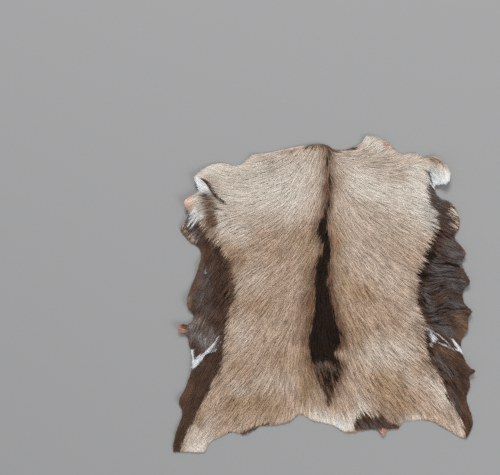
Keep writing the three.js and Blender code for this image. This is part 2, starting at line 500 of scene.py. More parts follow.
# How the hair lies: x, y and the way its tips point, in degrees from +X towards +Y, and the
# distance from a row within which its weight hardly grows any more
COMB = [
    (-0.063, 0.396, 230), (-0.036, 0.300, 240), (-0.118, 0.396, 203), (-0.146, 0.327, 198),
    (-0.256, 0.368, 170), (-0.256, 0.286, 176), (-0.278, 0.250, 163), (-0.214, 0.217, 197),
    (-0.269, 0.170, 207), (-0.173, 0.176, 211), (-0.063, 0.190, 232), (-0.022, 0.148, 240),
    (-0.030, 0.066, 248), (-0.063, 0.110, 232), (-0.070, 0.030, 237), (-0.201, 0.080, 218),
    (-0.118, 0.038, 227), (-0.228, -0.017, 221), (-0.036, -0.071, 256), (-0.132, -0.099, 240),
    (-0.228, -0.140, 226), (-0.173, -0.181, 236), (-0.063, -0.181, 262), (-0.242, -0.250, 229),
    (-0.297, -0.346, 230), (-0.352, -0.415, 228), (-0.173, -0.291, 238), (-0.201, -0.360, 244),
    (-0.063, -0.291, 262), (-0.030, -0.214, 288), (-0.008, -0.300, 284), (0.005, -0.360, 276),
    (0.060, -0.360, 285), (0.005, -0.017, 270), (0.005, -0.154, 272), (0.008, 0.121, 262),
    (0.011, 0.259, 258), (0.014, 0.355, 262), (0.047, -0.291, 285), (0.060, -0.214, 292),
    (0.074, -0.250, 300), (0.060, -0.099, 292), (0.047, 0.011, 296), (0.074, 0.093, 303),
    (0.074, 0.148, 307), (0.047, 0.217, 300), (0.052, 0.314, 312), (0.074, 0.341, 325),
    (0.060, 0.380, 2), (0.102, 0.392, 18), (0.110, 0.423, 75), (0.150, 0.405, 32),
    (0.178, 0.392, 28), (0.157, 0.355, 350), (0.212, 0.374, 20), (0.129, 0.286, 335),
    (0.212, 0.259, 343), (0.184, 0.176, 324), (0.129, 0.121, 314), (0.184, 0.011, 315),
    (0.253, 0.148, 325), (0.245, 0.080, 318), (0.129, -0.071, 303), (0.212, -0.099, 318),
    (0.157, -0.181, 307), (0.245, -0.181, 322), (0.184, -0.278, 308), (0.129, -0.319, 306),
    (0.115, -0.366, 298), (0.162, -0.360, 308), (0.212, -0.333, 306), (0.280, -0.236, 320),
    (0.294, -0.291, 308), (0.349, -0.360, 311), (0.239, -0.360, 292), (0.253, 0.382, 50),
    (0.300, 0.368, 335), (0.322, 0.335, 288), (0.341, 0.325, 262), (0.308, 0.335, 292),
    (0.300, 0.308, 285), (0.267, 0.327, 340), (0.302, 0.278, 340), (0.280, 0.225, 344),
    (0.322, 0.245, 338), (0.335, 0.190, 330), (0.363, 0.176, 322), (0.322, 0.121, 330),
    (0.363, 0.088, 330), (0.308, 0.038, 8), (0.377, 0.025, 335), (0.322, -0.020, 38),
    (0.312, 0.006, 34), (0.283, -0.010, 312), (0.377, -0.066, 330), (0.363, -0.104, 298),
    (0.311, -0.115, 320), (0.355, -0.148, 325), (0.322, -0.181, 310), (0.363, -0.236, 300),
    (0.371, -0.305, 294), (0.393, -0.360, 290), (-0.322, 0.190, 226), (-0.297, 0.121, 245),
    (-0.338, 0.088, 240), (-0.324, 0.025, 238), (-0.278, 0.025, 240), (-0.352, -0.017, 232),
    (-0.297, -0.058, 235), (-0.338, -0.077, 250), (-0.388, -0.093, 170), (-0.366, -0.127, 262),
    (-0.324, -0.127, 262), (-0.289, -0.132, 230), (-0.344, -0.170, 222), (-0.311, -0.195, 245),
    (-0.352, -0.250, 246), (-0.324, -0.278, 243), (-0.380, -0.333, 248), (-0.388, -0.401, 246),
    (-0.338, 0.302, 128), (-0.357, 0.259, 235), (-0.350, 0.218, 228), (-0.355, 0.181, 240),
    (-0.371, 0.247, 200), (-0.330, 0.262, 192), (-0.308, 0.238, 196), (-0.322, 0.329, 172),
    (-0.302, 0.302, 150), (-0.289, 0.272, 160), (-0.030, -0.150, 274), (-0.014, -0.256, 290),
    (0.325, 0.060, 12), (0.360, 0.052, 350), (0.363, -0.030, 320), (0.325, -0.062, 18),
    (0.377, -0.052, 5), (0.300, 0.075, 330), (-0.297, 0.198, 206), (-0.289, 0.232, 188),
    (0.334, 0.352, 292),
]
COMB_REACH = 0.020

# Dabs of colour in the coat: from x, y to x, y, then reach and strength. A strength below
# nothing takes the marking away, and one above 1 makes it solid further out.
PALE_DABS = [
    (-0.242, 0.355, -0.063, 0.335, 0.115, 0.85),
    (-0.269, 0.259, -0.091, 0.250, 0.093, 0.85),
    (-0.289, 0.190, -0.228, 0.170, 0.060, 0.65),
    (-0.346, 0.312, -0.322, 0.282, 0.026, 1.00),
    (-0.352, 0.262, -0.340, 0.235, 0.026, 1.00),
    (-0.345, 0.228, -0.338, 0.205, 0.024, 1.00),
    (-0.338, 0.338, -0.290, 0.348, 0.042, 0.85),
    (0.074, 0.363, 0.239, 0.355, 0.082, 0.60),
    (0.112, 0.425, 0.160, 0.405, 0.036, 0.90),
    (0.102, 0.300, 0.225, 0.264, 0.066, 1.00),
    (0.267, 0.330, 0.296, 0.217, 0.052, 0.90),
    (0.300, 0.345, 0.336, 0.322, 0.028, 0.90),
    (0.334, 0.362, 0.350, 0.332, 0.024, 1.00),
    (0.262, 0.300, 0.286, 0.215, 0.070, 0.60),
    (0.330, 0.262, 0.360, 0.215, 0.030, 0.70),
    (0.262, 0.290, 0.300, 0.225, 0.040, 0.45),
    (0.060, 0.231, 0.253, 0.190, 0.110, 0.35),
    (0.100, 0.110, 0.190, 0.050, 0.080, 0.30),
    (-0.228, 0.020, -0.190, 0.040, 0.060, 0.30),
    (-0.228, -0.099, -0.220, -0.121, 0.055, 0.30),
    (-0.160, -0.231, -0.100, -0.245, 0.050, 0.22),
    (-0.336, -0.410, -0.310, -0.350, 0.034, 0.45),
    (-0.355, -0.425, -0.335, -0.425, 0.024, 0.80),
    (-0.366, -0.418, -0.352, -0.380, 0.030, 0.60),
    (0.148, -0.160, 0.217, -0.160, 0.077, 0.55),
    (0.294, -0.231, 0.338, -0.297, 0.046, 0.55),
    (0.355, -0.346, 0.377, -0.380, 0.038, 0.35),
    (0.215, -0.350, 0.260, -0.345, 0.026, 0.70),
    (-0.020, -0.338, 0.066, -0.362, 0.042, 1.00),
    (0.084, -0.332, 0.108, -0.320, 0.030, 0.55),
    (0.239, -0.017, 0.253, -0.099, 0.044, 0.25),
    (-0.322, -0.410, -0.304, -0.395, 0.026, 0.50),
    (-0.236, -0.258, -0.220, -0.270, 0.030, 0.40),
    (0.096, -0.285, 0.110, -0.300, 0.028, 0.45),
    (0.234, -0.230, 0.246, -0.242, 0.026, 0.45),
]
FAWN_DABS = [
    (-0.132, 0.360, -0.104, 0.346, 0.042, 0.60),
    (-0.063, 0.162, -0.030, 0.135, 0.055, 0.70),
    (-0.140, 0.130, -0.110, 0.110, 0.050, 0.40),
    (-0.250, 0.121, -0.228, 0.088, 0.040, 0.75),
    (-0.228, -0.003, -0.168, -0.030, 0.060, 0.55),
    (-0.060, -0.040, -0.046, -0.250, 0.046, 0.70),
    (-0.040, 0.110, -0.040, -0.040, 0.024, 0.60),
    (0.026, 0.215, 0.036, 0.100, 0.030, 0.50),
    (-0.132, -0.181, -0.091, -0.187, 0.049, 0.50),
    (-0.240, -0.200, -0.215, -0.215, 0.040, 0.45),
    (-0.240, -0.300, -0.132, -0.305, 0.056, 0.85),
    (-0.055, -0.278, -0.030, -0.209, 0.035, 0.60),
    (0.040, 0.200, 0.046, 0.140, 0.032, 0.75),
    (0.060, 0.011, 0.115, 0.003, 0.050, 0.75),
    (0.060, -0.060, 0.095, -0.132, 0.044, 0.75),
    (0.160, -0.240, 0.212, -0.305, 0.066, 0.80),
    (0.230, -0.230, 0.250, -0.200, 0.045, 0.45),
    (0.041, 0.093, 0.052, 0.052, 0.030, 0.55),
    (0.185, 0.400, 0.210, 0.380, 0.014, 0.40),
    (0.120, -0.030, 0.200, -0.260, 0.110, 0.22),
    (-0.330, -0.330, -0.260, -0.330, 0.060, 0.35),
    (-0.390, 0.180, -0.355, 0.135, 0.010, 0.90),
]
RUST_DABS = [
    (0.026, 0.192, 0.034, 0.143, 0.018, 0.48),
    (-0.014, 0.236, 0.000, 0.214, 0.012, 0.25),
    (-0.025, 0.135, -0.018, 0.088, 0.012, 0.25),
    (-0.248, 0.100, -0.236, 0.011, 0.014, 0.18),
    (-0.402, -0.088, -0.384, -0.098, 0.017, 1.00),
    (-0.384, -0.098, -0.370, -0.102, 0.010, 0.50),
    (0.154, -0.373, 0.176, -0.373, 0.008, 0.80),
    (0.165, -0.376, 0.166, -0.392, 0.011, 0.72),
    (0.060, -0.378, 0.151, -0.376, 0.010, 0.85),
    (0.167, 0.418, 0.174, 0.406, 0.014, 0.70),
    (0.384, 0.125, 0.390, 0.092, 0.008, 0.30),
]
UMBER_DABS = [
    # Painted shade of the left foreleg: the next five dabs lie along its crease and below its
    # flap
    (-0.334, 0.318, -0.314, 0.301, 0.008, 0.85),
    (-0.314, 0.301, -0.294, 0.270, 0.012, 0.95),
    (-0.294, 0.270, -0.264, 0.247, 0.006, 0.60),
    (-0.322, 0.268, -0.304, 0.218, 0.024, 0.60),
    (-0.298, 0.262, -0.275, 0.252, 0.014, 0.45),
    (-0.380, 0.206, -0.368, 0.214, 0.012, 0.80),
    # Painted shade below the left foreleg's flap, in this dab and the next
    (-0.300, 0.205, -0.285, 0.175, 0.026, 0.26),
    (-0.298, 0.238, -0.276, 0.230, 0.005, 0.55),
    # Painted shade in the gap under the right foreleg's curl
    (0.291, 0.334, 0.299, 0.302, 0.014, 1.00),
    (0.300, 0.285, 0.318, 0.256, 0.036, 0.88),
    (0.318, 0.245, 0.330, 0.205, 0.034, 0.45),
    (0.096, -0.366, 0.188, -0.366, 0.028, 1.00),
    (0.106, -0.344, 0.158, -0.346, 0.036, 0.92),
    (0.190, -0.362, 0.208, -0.366, 0.012, 0.80),
    (-0.223, -0.380, -0.184, -0.366, 0.013, 0.95),
    (-0.175, -0.362, -0.151, -0.355, 0.010, 0.85),
    (-0.264, -0.384, -0.250, -0.379, 0.009, 0.60),
    (-0.044, 0.408, -0.004, 0.411, 0.012, 0.95),
    (0.006, 0.408, 0.015, 0.394, 0.016, 1.00),
    (-0.020, -0.194, 0.038, -0.194, 0.020, 3.00),
    (-0.010, -0.212, 0.038, -0.212, 0.020, 3.00),
    (-0.004, -0.231, 0.030, -0.231, 0.020, 3.00),
    (0.006, -0.250, 0.021, -0.250, 0.020, 3.00),
    (0.014, -0.264, 0.016, -0.272, 0.016, 3.00),
    (0.016, -0.275, 0.016, -0.292, 0.009, 3.00),
    (0.015, -0.290, 0.015, -0.304, 0.005, 2.50),
    (0.026, 0.398, 0.082, 0.399, 0.009, 1.00),
    (0.025, 0.390, 0.034, 0.377, 0.004, 0.60),
    (0.206, -0.366, 0.217, -0.366, 0.008, 0.50),
    (0.270, -0.215, 0.300, -0.225, 0.006, 0.40),
    (-0.392, 0.200, -0.358, 0.150, 0.022, -0.45),
    (-0.345, -0.094, -0.318, -0.126, 0.046, -0.50),
    (-0.356, 0.226, -0.344, 0.212, 0.014, -0.80),
    (0.342, 0.232, 0.362, 0.202, 0.050, -0.46),
]
WHITE_DABS = [
    (-0.361, -0.156, -0.357, -0.196, 0.009, 1.00),
    (-0.354, -0.192, -0.338, -0.175, 0.014, 1.00),
    (-0.338, -0.175, -0.320, -0.158, 0.008, 0.90),
    (-0.320, -0.158, -0.302, -0.140, 0.0065, 0.85),
    (-0.302, -0.140, -0.288, -0.118, 0.0045, 0.75),
    (-0.320, -0.158, -0.294, -0.154, 0.005, 0.55),
    (-0.300, -0.150, -0.278, -0.128, 0.006, 0.45),
    (0.288, -0.092, 0.304, -0.120, 0.016, 0.64),
    (0.304, -0.120, 0.294, -0.142, 0.011, 0.46),
    (0.311, -0.107, 0.349, -0.140, 0.003, 0.75),
    (0.302, -0.129, 0.335, -0.140, 0.004, 0.50),
    (0.335, -0.140, 0.366, -0.154, 0.005, 0.70),
    (0.357, -0.126, 0.380, -0.160, 0.007, 1.00),
    (-0.347, 0.314, -0.330, 0.286, 0.018, 0.90),
    (-0.324, 0.284, -0.314, 0.272, 0.010, 0.25),
    (-0.352, 0.226, -0.338, 0.216, 0.018, 0.70),
    (-0.370, 0.190, -0.350, 0.214, 0.006, 0.72),
    (-0.362, 0.182, -0.345, 0.208, 0.005, 0.72),
    (-0.352, -0.112, -0.318, -0.136, 0.030, 0.25),
    (-0.215, 0.316, -0.190, 0.312, 0.034, 0.18),
    (-0.367, 0.206, -0.355, 0.226, 0.005, 0.60),
    (0.314, 0.322, 0.340, 0.320, 0.034, 0.66),
    (0.308, 0.308, 0.334, 0.306, 0.018, 0.60),
    (0.260, 0.285, 0.296, 0.225, 0.040, 0.20),
    (0.286, 0.314, 0.306, 0.290, 0.003, 1.00),
    (0.293, 0.330, 0.304, 0.298, 0.003, 1.00),
    (0.286, 0.350, 0.312, 0.318, 0.004, 0.60),
    (0.104, 0.416, 0.113, 0.437, 0.010, 0.95),
    (0.036, -0.352, 0.058, -0.366, 0.022, 0.48),
    (-0.325, 0.066, -0.322, 0.058, 0.004, 0.50),
]
# Painted sheen, as grey light on dark hair; the dabs marked below paint shade instead
SHEEN_AND_SHADE_DABS = [
    (-0.328, 0.066, -0.322, 0.000, 0.032, 0.60),
    (-0.352, -0.010, -0.315, -0.045, 0.034, 0.55),
    (-0.366, 0.196, -0.349, 0.155, 0.024, 0.80),
    (-0.345, -0.090, -0.312, -0.121, 0.046, 1.00),
    (-0.352, -0.110, -0.330, -0.140, 0.030, 0.70),
    (0.305, 0.080, 0.315, 0.030, 0.036, 1.00),
    (0.345, 0.130, 0.375, 0.090, 0.034, 0.90),
    (0.340, 0.060, 0.375, 0.020, 0.036, 0.90),
    (0.280, 0.010, 0.300, -0.050, 0.024, 1.00),
    (0.360, 0.120, 0.350, -0.050, 0.080, 0.30),
    (0.340, -0.020, 0.372, -0.035, 0.022, 0.90),
    (0.310, -0.075, 0.350, -0.110, 0.028, 0.90),
    (0.318, -0.176, 0.350, -0.220, 0.026, 0.65),
    (0.350, -0.260, 0.372, -0.320, 0.018, 0.50),
    (0.320, 0.240, 0.350, 0.190, 0.030, 0.40),
    (0.284, 0.242, 0.296, 0.198, 0.028, 0.42),
    (-0.010, -0.192, 0.028, -0.206, 0.018, 0.60),
    (0.100, -0.362, 0.170, -0.362, 0.022, 0.50),
    # Painted shade in the gap under the right foreleg's curl
    (0.291, 0.334, 0.299, 0.302, 0.016, 1.00),
    (0.305, 0.284, 0.325, 0.262, 0.030, 1.00),
    # Painted shade along the left foreleg's crease and below its flap, in this dab and the next
    # two
    (-0.336, 0.323, -0.306, 0.300, 0.020, 0.15),
    (-0.306, 0.300, -0.284, 0.266, 0.024, 0.15),
    (-0.322, 0.264, -0.314, 0.240, 0.030, 0.30),
    (-0.380, 0.206, -0.366, 0.214, 0.014, 0.80),
]
HAZEL_DABS = [
    (0.368, -0.060, 0.396, -0.105, 0.030, 0.90),
    (0.345, -0.095, 0.380, -0.125, 0.022, 0.60),
    (0.386, 0.125, 0.394, 0.086, 0.010, 0.35),
    (0.398, 0.045, 0.406, 0.020, 0.008, 0.30),
    (0.396, -0.110, 0.384, -0.135, 0.012, 0.80),
    (0.318, -0.152, 0.350, -0.165, 0.026, 0.85),
    (0.336, 0.142, 0.360, 0.108, 0.022, 0.60),
    (0.300, 0.000, 0.345, -0.020, 0.022, 0.55),
    (0.330, -0.240, 0.400, -0.330, 0.014, 0.45),
    (-0.375, -0.250, -0.390, -0.300, 0.030, 0.34),
    (0.280, 0.374, 0.326, 0.364, 0.014, 0.42),
    (-0.350, -0.200, -0.375, -0.320, 0.020, 0.26),
    (-0.346, -0.088, -0.314, -0.115, 0.042, 0.90),
    (-0.330, -0.030, -0.290, -0.060, 0.030, 0.45),
    (-0.392, 0.180, -0.355, 0.135, 0.006, 1.00),
    (-0.330, 0.200, -0.300, 0.150, 0.020, 0.40),
    (-0.336, 0.118, -0.342, 0.030, 0.026, 0.62),
    (-0.366, 0.020, -0.372, -0.040, 0.020, 0.95),
    (-0.308, 0.228, -0.262, 0.205, 0.036, 0.26),
    (-0.324, 0.268, -0.312, 0.246, 0.022, 0.34),
    (0.008, 0.385, 0.015, 0.230, 0.014, 0.55),
    (0.360, 0.235, 0.372, 0.190, 0.014, 0.50),
    (0.060, 0.000, 0.080, -0.020, 0.030, 0.20),
    (0.110, -0.240, 0.235, -0.310, 0.070, 0.24),
    (0.156, -0.374, 0.162, -0.390, 0.010, 0.75),
    (0.110, -0.130, 0.220, -0.180, 0.090, 0.20),
    (0.030, 0.190, 0.040, 0.140, 0.014, 0.50),
]
HAZE_DABS = [
    (0.012, 0.390, 0.012, 0.300, 0.032, 0.46),
    (0.012, 0.290, 0.010, 0.230, 0.022, 0.40),
    (-0.034, 0.050, -0.042, -0.020, 0.036, 0.30),
    (-0.046, -0.020, -0.054, -0.120, 0.044, 0.46),
    (0.024, 0.060, 0.034, -0.020, 0.036, 0.42),
    (0.040, -0.040, 0.056, -0.130, 0.036, 0.40),
    (-0.040, -0.190, -0.036, -0.290, 0.042, 0.34),
    (0.054, -0.200, 0.044, -0.270, 0.038, 0.40),
    (0.284, 0.374, 0.326, 0.366, 0.013, 0.60),
    (0.156, -0.318, 0.215, -0.348, 0.034, 0.50),
    # Painted shade below the left foreleg's flap, in this dab and the next two
    (-0.316, 0.264, -0.306, 0.200, 0.030, 0.85),
    (-0.306, 0.200, -0.306, 0.165, 0.026, 0.60),
    (-0.340, 0.236, -0.345, 0.200, 0.024, 0.30),
    (-0.250, 0.090, -0.248, -0.045, 0.032, 0.48),
    (-0.284, -0.222, -0.290, -0.246, 0.022, 0.50),
    (-0.150, 0.374, -0.142, 0.345, 0.034, 0.24),
    (-0.104, 0.402, -0.076, 0.402, 0.016, 0.50),
    (-0.060, 0.078, -0.056, 0.050, 0.032, 0.30),
    (0.284, -0.190, 0.306, -0.224, 0.028, 0.50),
    (0.262, -0.085, 0.264, -0.130, 0.022, 0.48),
    (-0.110, -0.228, -0.088, -0.264, 0.036, 0.20),
    (0.072, -0.140, 0.078, -0.165, 0.030, 0.28),
    (-0.120, -0.090, -0.092, -0.105, 0.032, 0.18),
    (0.340, -0.310, 0.352, -0.350, 0.024, 0.34),
    (-0.346, -0.330, -0.334, -0.356, 0.022, 0.40),
    (-0.150, -0.340, -0.144, -0.352, 0.022, 0.42),
    (0.238, -0.085, 0.240, -0.110, 0.026, 0.26),
    (0.244, 0.020, 0.248, -0.010, 0.022, 0.34),
    (0.150, 0.428, 0.165, 0.416, 0.018, 0.34),
]
SOOT_DABS = [
    (-0.292, 0.130, -0.262, 0.000, 0.030, 0.30),
    (-0.264, 0.000, -0.285, -0.090, 0.024, 0.28),
    (-0.010, -0.192, 0.028, -0.204, 0.016, -0.35),
    (0.315, 0.160, 0.295, 0.110, 0.026, 0.42),
    (0.290, 0.105, 0.272, 0.050, 0.026, 0.50),
    (0.270, 0.050, 0.270, -0.020, 0.020, 0.40),
    (0.320, 0.090, 0.310, -0.060, 0.090, 0.32),
    # Painted shade: a dark line along a crease between folds of the right flank
    (0.335, 0.085, 0.375, 0.078, 0.009, 0.70),
    (0.290, -0.130, 0.300, -0.165, 0.016, 0.75),
    (0.315, -0.195, 0.340, -0.250, 0.010, 0.50),
    (0.304, 0.284, 0.326, 0.264, 0.016, 0.35),
    (0.322, 0.180, 0.345, 0.160, 0.020, 0.45),
    # Painted shade: a dark line along a crease between folds of the right flank
    (0.310, -0.050, 0.395, -0.036, 0.008, 0.50),
]
BARE_DABS = [
    (-0.379, 0.256, -0.373, 0.244, 0.018, 0.85),
    (-0.364, 0.264, -0.360, 0.254, 0.018, 0.70),
]

# Where the coat is calm, that is even in tone. Below nothing it is livelier than elsewhere.
CALM_DABS = [
    (-0.290, 0.300, -0.060, 0.290, 0.150, 0.45),
    (0.060, 0.330, 0.250, 0.320, 0.080, 0.25),
    (-0.380, -0.430, -0.330, -0.230, 0.050, 0.55),
    (0.130, 0.030, 0.200, -0.330, 0.130, -0.30),
    (0.250, -0.150, 0.320, -0.340, 0.080, -0.40),
    (-0.345, 0.200, -0.360, 0.240, 0.050, 0.30),
    (0.320, 0.330, 0.335, 0.315, 0.030, 0.40),
]


def smooth_step(t):
    """Zero below 0, one above 1, and 3 t squared less 2 t cubed between."""
    s = np.clip(t, 0.0, 1.0)
    return s * s * (3.0 - 2.0 * s)


def fade_over(distance, reach):
    """One at no distance, falling smoothly to nothing at the reach."""
    return smooth_step(1.0 - distance / reach)


def distance_to_run(x, y, x0, y0, x1, y1):
    """Plan distance from each place to the straight run between two ends."""
    run_x = x1 - x0
    run_y = y1 - y0
    span = max(run_x * run_x + run_y * run_y, 1e-12)
    t = np.clip(((x - x0) * run_x + (y - y0) * run_y) / span, 0.0, 1.0)
    return np.hypot(x - x0 - t * run_x, y - y0 - t * run_y)


# The tanned sheet's lattice


def edge_run(rows):
    """Points on a centripetal Catmull-Rom curve through the rows. Each span is a cubic whose
    end slopes come from the rows about it, over the square roots of their distances."""
    p = np.array(rows, float)
    p = np.vstack([2 * p[0] - p[1], p, 2 * p[-1] - p[-2]])
    gap = np.sqrt(np.linalg.norm(np.diff(p, axis=0), axis=1))[:, None, None]
    before, here, there, after = (p[k:len(p) - 3 + k, None] for k in range(4))
    gap_in, gap_on, gap_out = gap[:-2], gap[1:-1], gap[2:]
    leaving = gap_on * (
        (here - before) / gap_in - (there - before) / (gap_in + gap_on) + (there - here) / gap_on
    )
    arriving = gap_on * (
        (there - here) / gap_on - (after - here) / (gap_on + gap_out) + (after - there) / gap_out
    )
    t = (np.arange(STEPS_PER_ROW) / STEPS_PER_ROW)[None, :, None]
    square = 3 * (there - here) - 2 * leaving - arriving
    cube = 2 * (here - there) + leaving + arriving
    spans = here + t * (leaving + t * (square + t * cube))
    return np.vstack([spans.reshape(-1, 3), p[-2]])


def skin_lattice(neck, rump, left, right):
    """A four-sided lattice pinned at the cut edge: a blend of the four runs, relaxed until each
    inner knot is the mean of its neighbours, weighted by how the lattice is stretched there."""
    u = np.linspace(0, 1, len(neck))[None, :, None]
    v = np.linspace(0, 1, len(left))[:, None, None]
    knots = (1 - v) * neck + v * rump + (1 - u) * left[:, None] + u * right[:, None]
    knots = knots - (1 - u) * (1 - v) * neck[0] - u * (1 - v) * neck[-1]
    knots = knots - (1 - u) * v * rump[0] - u * v * rump[-1]
    for _ in range(RELAX_PASSES):
        west, east = knots[1:-1, :-2], knots[1:-1, 2:]
        north, south = knots[:-2, 1:-1], knots[2:, 1:-1]
        across_step = (east - west)[..., :2]
        along_step = (south - north)[..., :2]
        across_weight = (along_step ** 2).sum(-1, keepdims=True)
        along_weight = (across_step ** 2).sum(-1, keepdims=True)
        skew = (across_step * along_step).sum(-1, keepdims=True) / 2
        corners = knots[2:, 2:] - knots[2:, :-2] - knots[:-2, 2:] + knots[:-2, :-2]
        total = across_weight * (west + east) + along_weight * (north + south) - skew * corners
        knots[1:-1, 1:-1] = total / (2 * (across_weight + along_weight))
    return knots


def edge_distances(knots):
    """Plan distance from each knot to the ends of its own row and column."""
    ends = [knots[:1], knots[-1:], knots[:, :1], knots[:, -1:]]
    return ends, [np.linalg.norm((knots - end)[..., :2], axis=-1) for end in ends]


def edge_lift(knots):
    """Lift carried in from the four edge points that a knot is in line with, fading inwards."""
    ends, distances = edge_distances(knots)
    weights = [fade_over(distance, LIFT_REACH) for distance in distances]
    total = sum(weights)
    lifted = sum(w * w * end[..., 2] for w, end in zip(weights, ends))
    return np.where(total > 0, lifted / np.maximum(total, 1e-9), 0.0)


def fold_height(x, y):
    """Height of the soft folds: a rounded crest either side of each fold's line."""
    height = np.zeros_like(x)
    for x0, y0, x1, y1, width, crest in FOLDS:
        height += crest * fade_over(distance_to_run(x, y, x0, y0, x1, y1), width)
    return height


# The plan


class Plan:
    """An even net of places over the skin, and straight blending between them."""

    def __init__(self):
        self.xs = np.arange(-PLAN_HALF_WIDTH, PLAN_HALF_WIDTH + PLAN_STEP / 2, PLAN_STEP)
        self.ys = np.arange(-PLAN_HALF_LENGTH, PLAN_HALF_LENGTH + PLAN_STEP / 2, PLAN_STEP)
        self.x, self.y = np.meshgrid(self.xs, self.ys)

    def place(self, x, y):
        """Column and row of a place, as fractions."""
        column = np.clip((x - self.xs[0]) / PLAN_STEP, 0, len(self.xs) - 1.001)
        row = np.clip((y - self.ys[0]) / PLAN_STEP, 0, len(self.ys) - 1.001)
        return column, row

    def look_up(self, field, x, y):
        """The field at any places, blended from the four plan places about each."""
        column, row = self.place(x, y)
        i = column.astype(int)
        j = row.astype(int)
        a = column - i
        b = row - j
        low = field[j, i] * (1 - a) + field[j, i + 1] * a
        high = field[j + 1, i] * (1 - a) + field[j + 1, i + 1] * a
        return low * (1 - b) + high * b

    def gather(self, x, y, values):
        """Mean of the scattered values that fall on each plan place, and which places have any.
        The others are filled outwards from those, ring after ring."""
        column, row = self.place(x.ravel(), y.ravel())
        index = np.rint(row).astype(int) * len(self.xs) + np.rint(column).astype(int)
        size = self.x.size
        count = np.bincount(index, minlength=size).reshape(self.x.shape)
        total = np.bincount(index, weights=values.ravel(), minlength=size).reshape(self.x.shape)
        covered = count > 0
        field = np.where(covered, total / np.maximum(count, 1), 0.0)
        known = covered.copy()
        for _ in range(FILL_RINGS):
            votes = sum(np.roll(known, step, (0, 1)) for step in NEIGHBOURS)
            heap = sum(np.roll(np.where(known, field, 0.0), step, (0, 1)) for step in NEIGHBOURS)
            fresh = ~known & (votes > 0)
            field[fresh] = heap[fresh] / votes[fresh]
            known |= fresh
        return field, covered


def widened(covered, rings):
    """The covered places and all others within so many steps of them."""
    for _ in range(rings):
        beside = [np.roll(covered, step, (0, 1)) for step in NEIGHBOURS]
        covered = np.logical_or.reduce([covered, *beside])
    return covered


def refined(values, cuts):
    """The lattice with each of its cells cut evenly both ways, by straight blending."""
    for axis in (0, 1):
        last = values.shape[axis] - 1
        place = np.linspace(0, last, last * cuts + 1)
        low = np.minimum(place.astype(int), last - 1)
        part = place - low
        part = part[:, None] if axis == 0 else part[None, :]
        values = np.take(values, low, axis) * (1 - part) + np.take(values, low + 1, axis) * part
    return values


def nearest_edge(plan, edge):
    """For every plan place, the nearest point of the cut edge. It is handed on from place to
    place in jumps that halve, and the nearer of two stays."""
    near = np.full(plan.x.shape + (2,), FAR_AWAY)
    column, row = plan.place(edge[:, 0], edge[:, 1])
    near[np.rint(row).astype(int), np.rint(column).astype(int)] = edge[:, :2]
    here = np.stack([plan.x, plan.y], -1)
    jump = WIDEST_JUMP
    while jump >= 1:
        best = np.linalg.norm(near - here, axis=-1)
        for down in (-jump, 0, jump):
            for over in (-jump, 0, jump):
                offer = np.roll(near, (down, over), (0, 1))
                distance = np.linalg.norm(offer - here, axis=-1)
                closer = distance < best
                near = np.where(closer[..., None], offer, near)
                best = np.where(closer, distance, best)
        jump //= 2
    return near


def combed(plan):
    """The way the hair lies at each plan place: the mean of the comb table's rows, each weighted
    by one over the square of its distance squared plus the reach squared."""
    east = np.zeros_like(plan.x)
    north = np.zeros_like(plan.x)
    for x, y, heading in COMB:
        away = (plan.x - x) ** 2 + (plan.y - y) ** 2
        weight = (away + COMB_REACH ** 2) ** -2.0
        east += weight * math.cos(math.radians(heading))
        north += weight * math.sin(math.radians(heading))
    size = np.hypot(east, north)
    return east / size, north / size


# The coat's markings


def dabbed(x, y, dabs):
    """Strength of a set of dabs: each is full along its run and fades out at its reach."""
    amount = np.zeros_like(x)
    for x0, y0, x1, y1, reach, strength in dabs:
        amount += strength * fade_over(distance_to_run(x, y, x0, y0, x1, y1), reach)
    return amount


def spine_stripe(x, y):
    """How black the spine stripe is, between its two sides that are each a soft step, and how
    strong the brown glow beside it is."""
    rows = np.array(STRIPE)[::-1]
    left = np.interp(y, rows[:, 0], rows[:, 1])
    right = np.interp(y, rows[:, 0], rows[:, 2])
    depth = np.interp(y, rows[:, 0], rows[:, 3])
    inside = smooth_step((x - left) / STRIPE_SOFTNESS + 0.5)
    inside = inside * smooth_step((right - x) / STRIPE_SOFTNESS + 0.5)
    ends = smooth_step((y - rows[0, 0]) / STRIPE_SOFTNESS + 0.5)
    outside = np.maximum(np.maximum(left - x, x - right), 0)
    glow = depth * fade_over(outside, GLOW_REACH) * ends
    return depth * inside * ends, GLOW_STRENGTH * glow


def dark_belly(x, y):
    """How dark the belly hair is, beyond the border on each side and below the forelegs, and how
    strong the brown band is that runs along the border."""
    amount = np.zeros_like(x)
    band = np.zeros_like(x)
    for border, side, strength in ((LEFT_BORDER, -1, LEFT_BAND), (RIGHT_BORDER, 1, RIGHT_BAND)):
        rows = np.array(border)[::-1]
        line = np.interp(y, rows[:, 0], rows[:, 1])
        width = np.interp(y, rows[:, 0], rows[:, 2])
        beyond = smooth_step(side * (x - line) / width + 0.5)
        below = smooth_step((rows[-1, 0] - y) / width + 0.5)
        amount = np.maximum(amount, beyond * below)
        near = fade_over(np.abs(x - line + side * BAND_INSET), BAND_REACH)
        band = np.maximum(band, strength * near * below)
    return amount, band


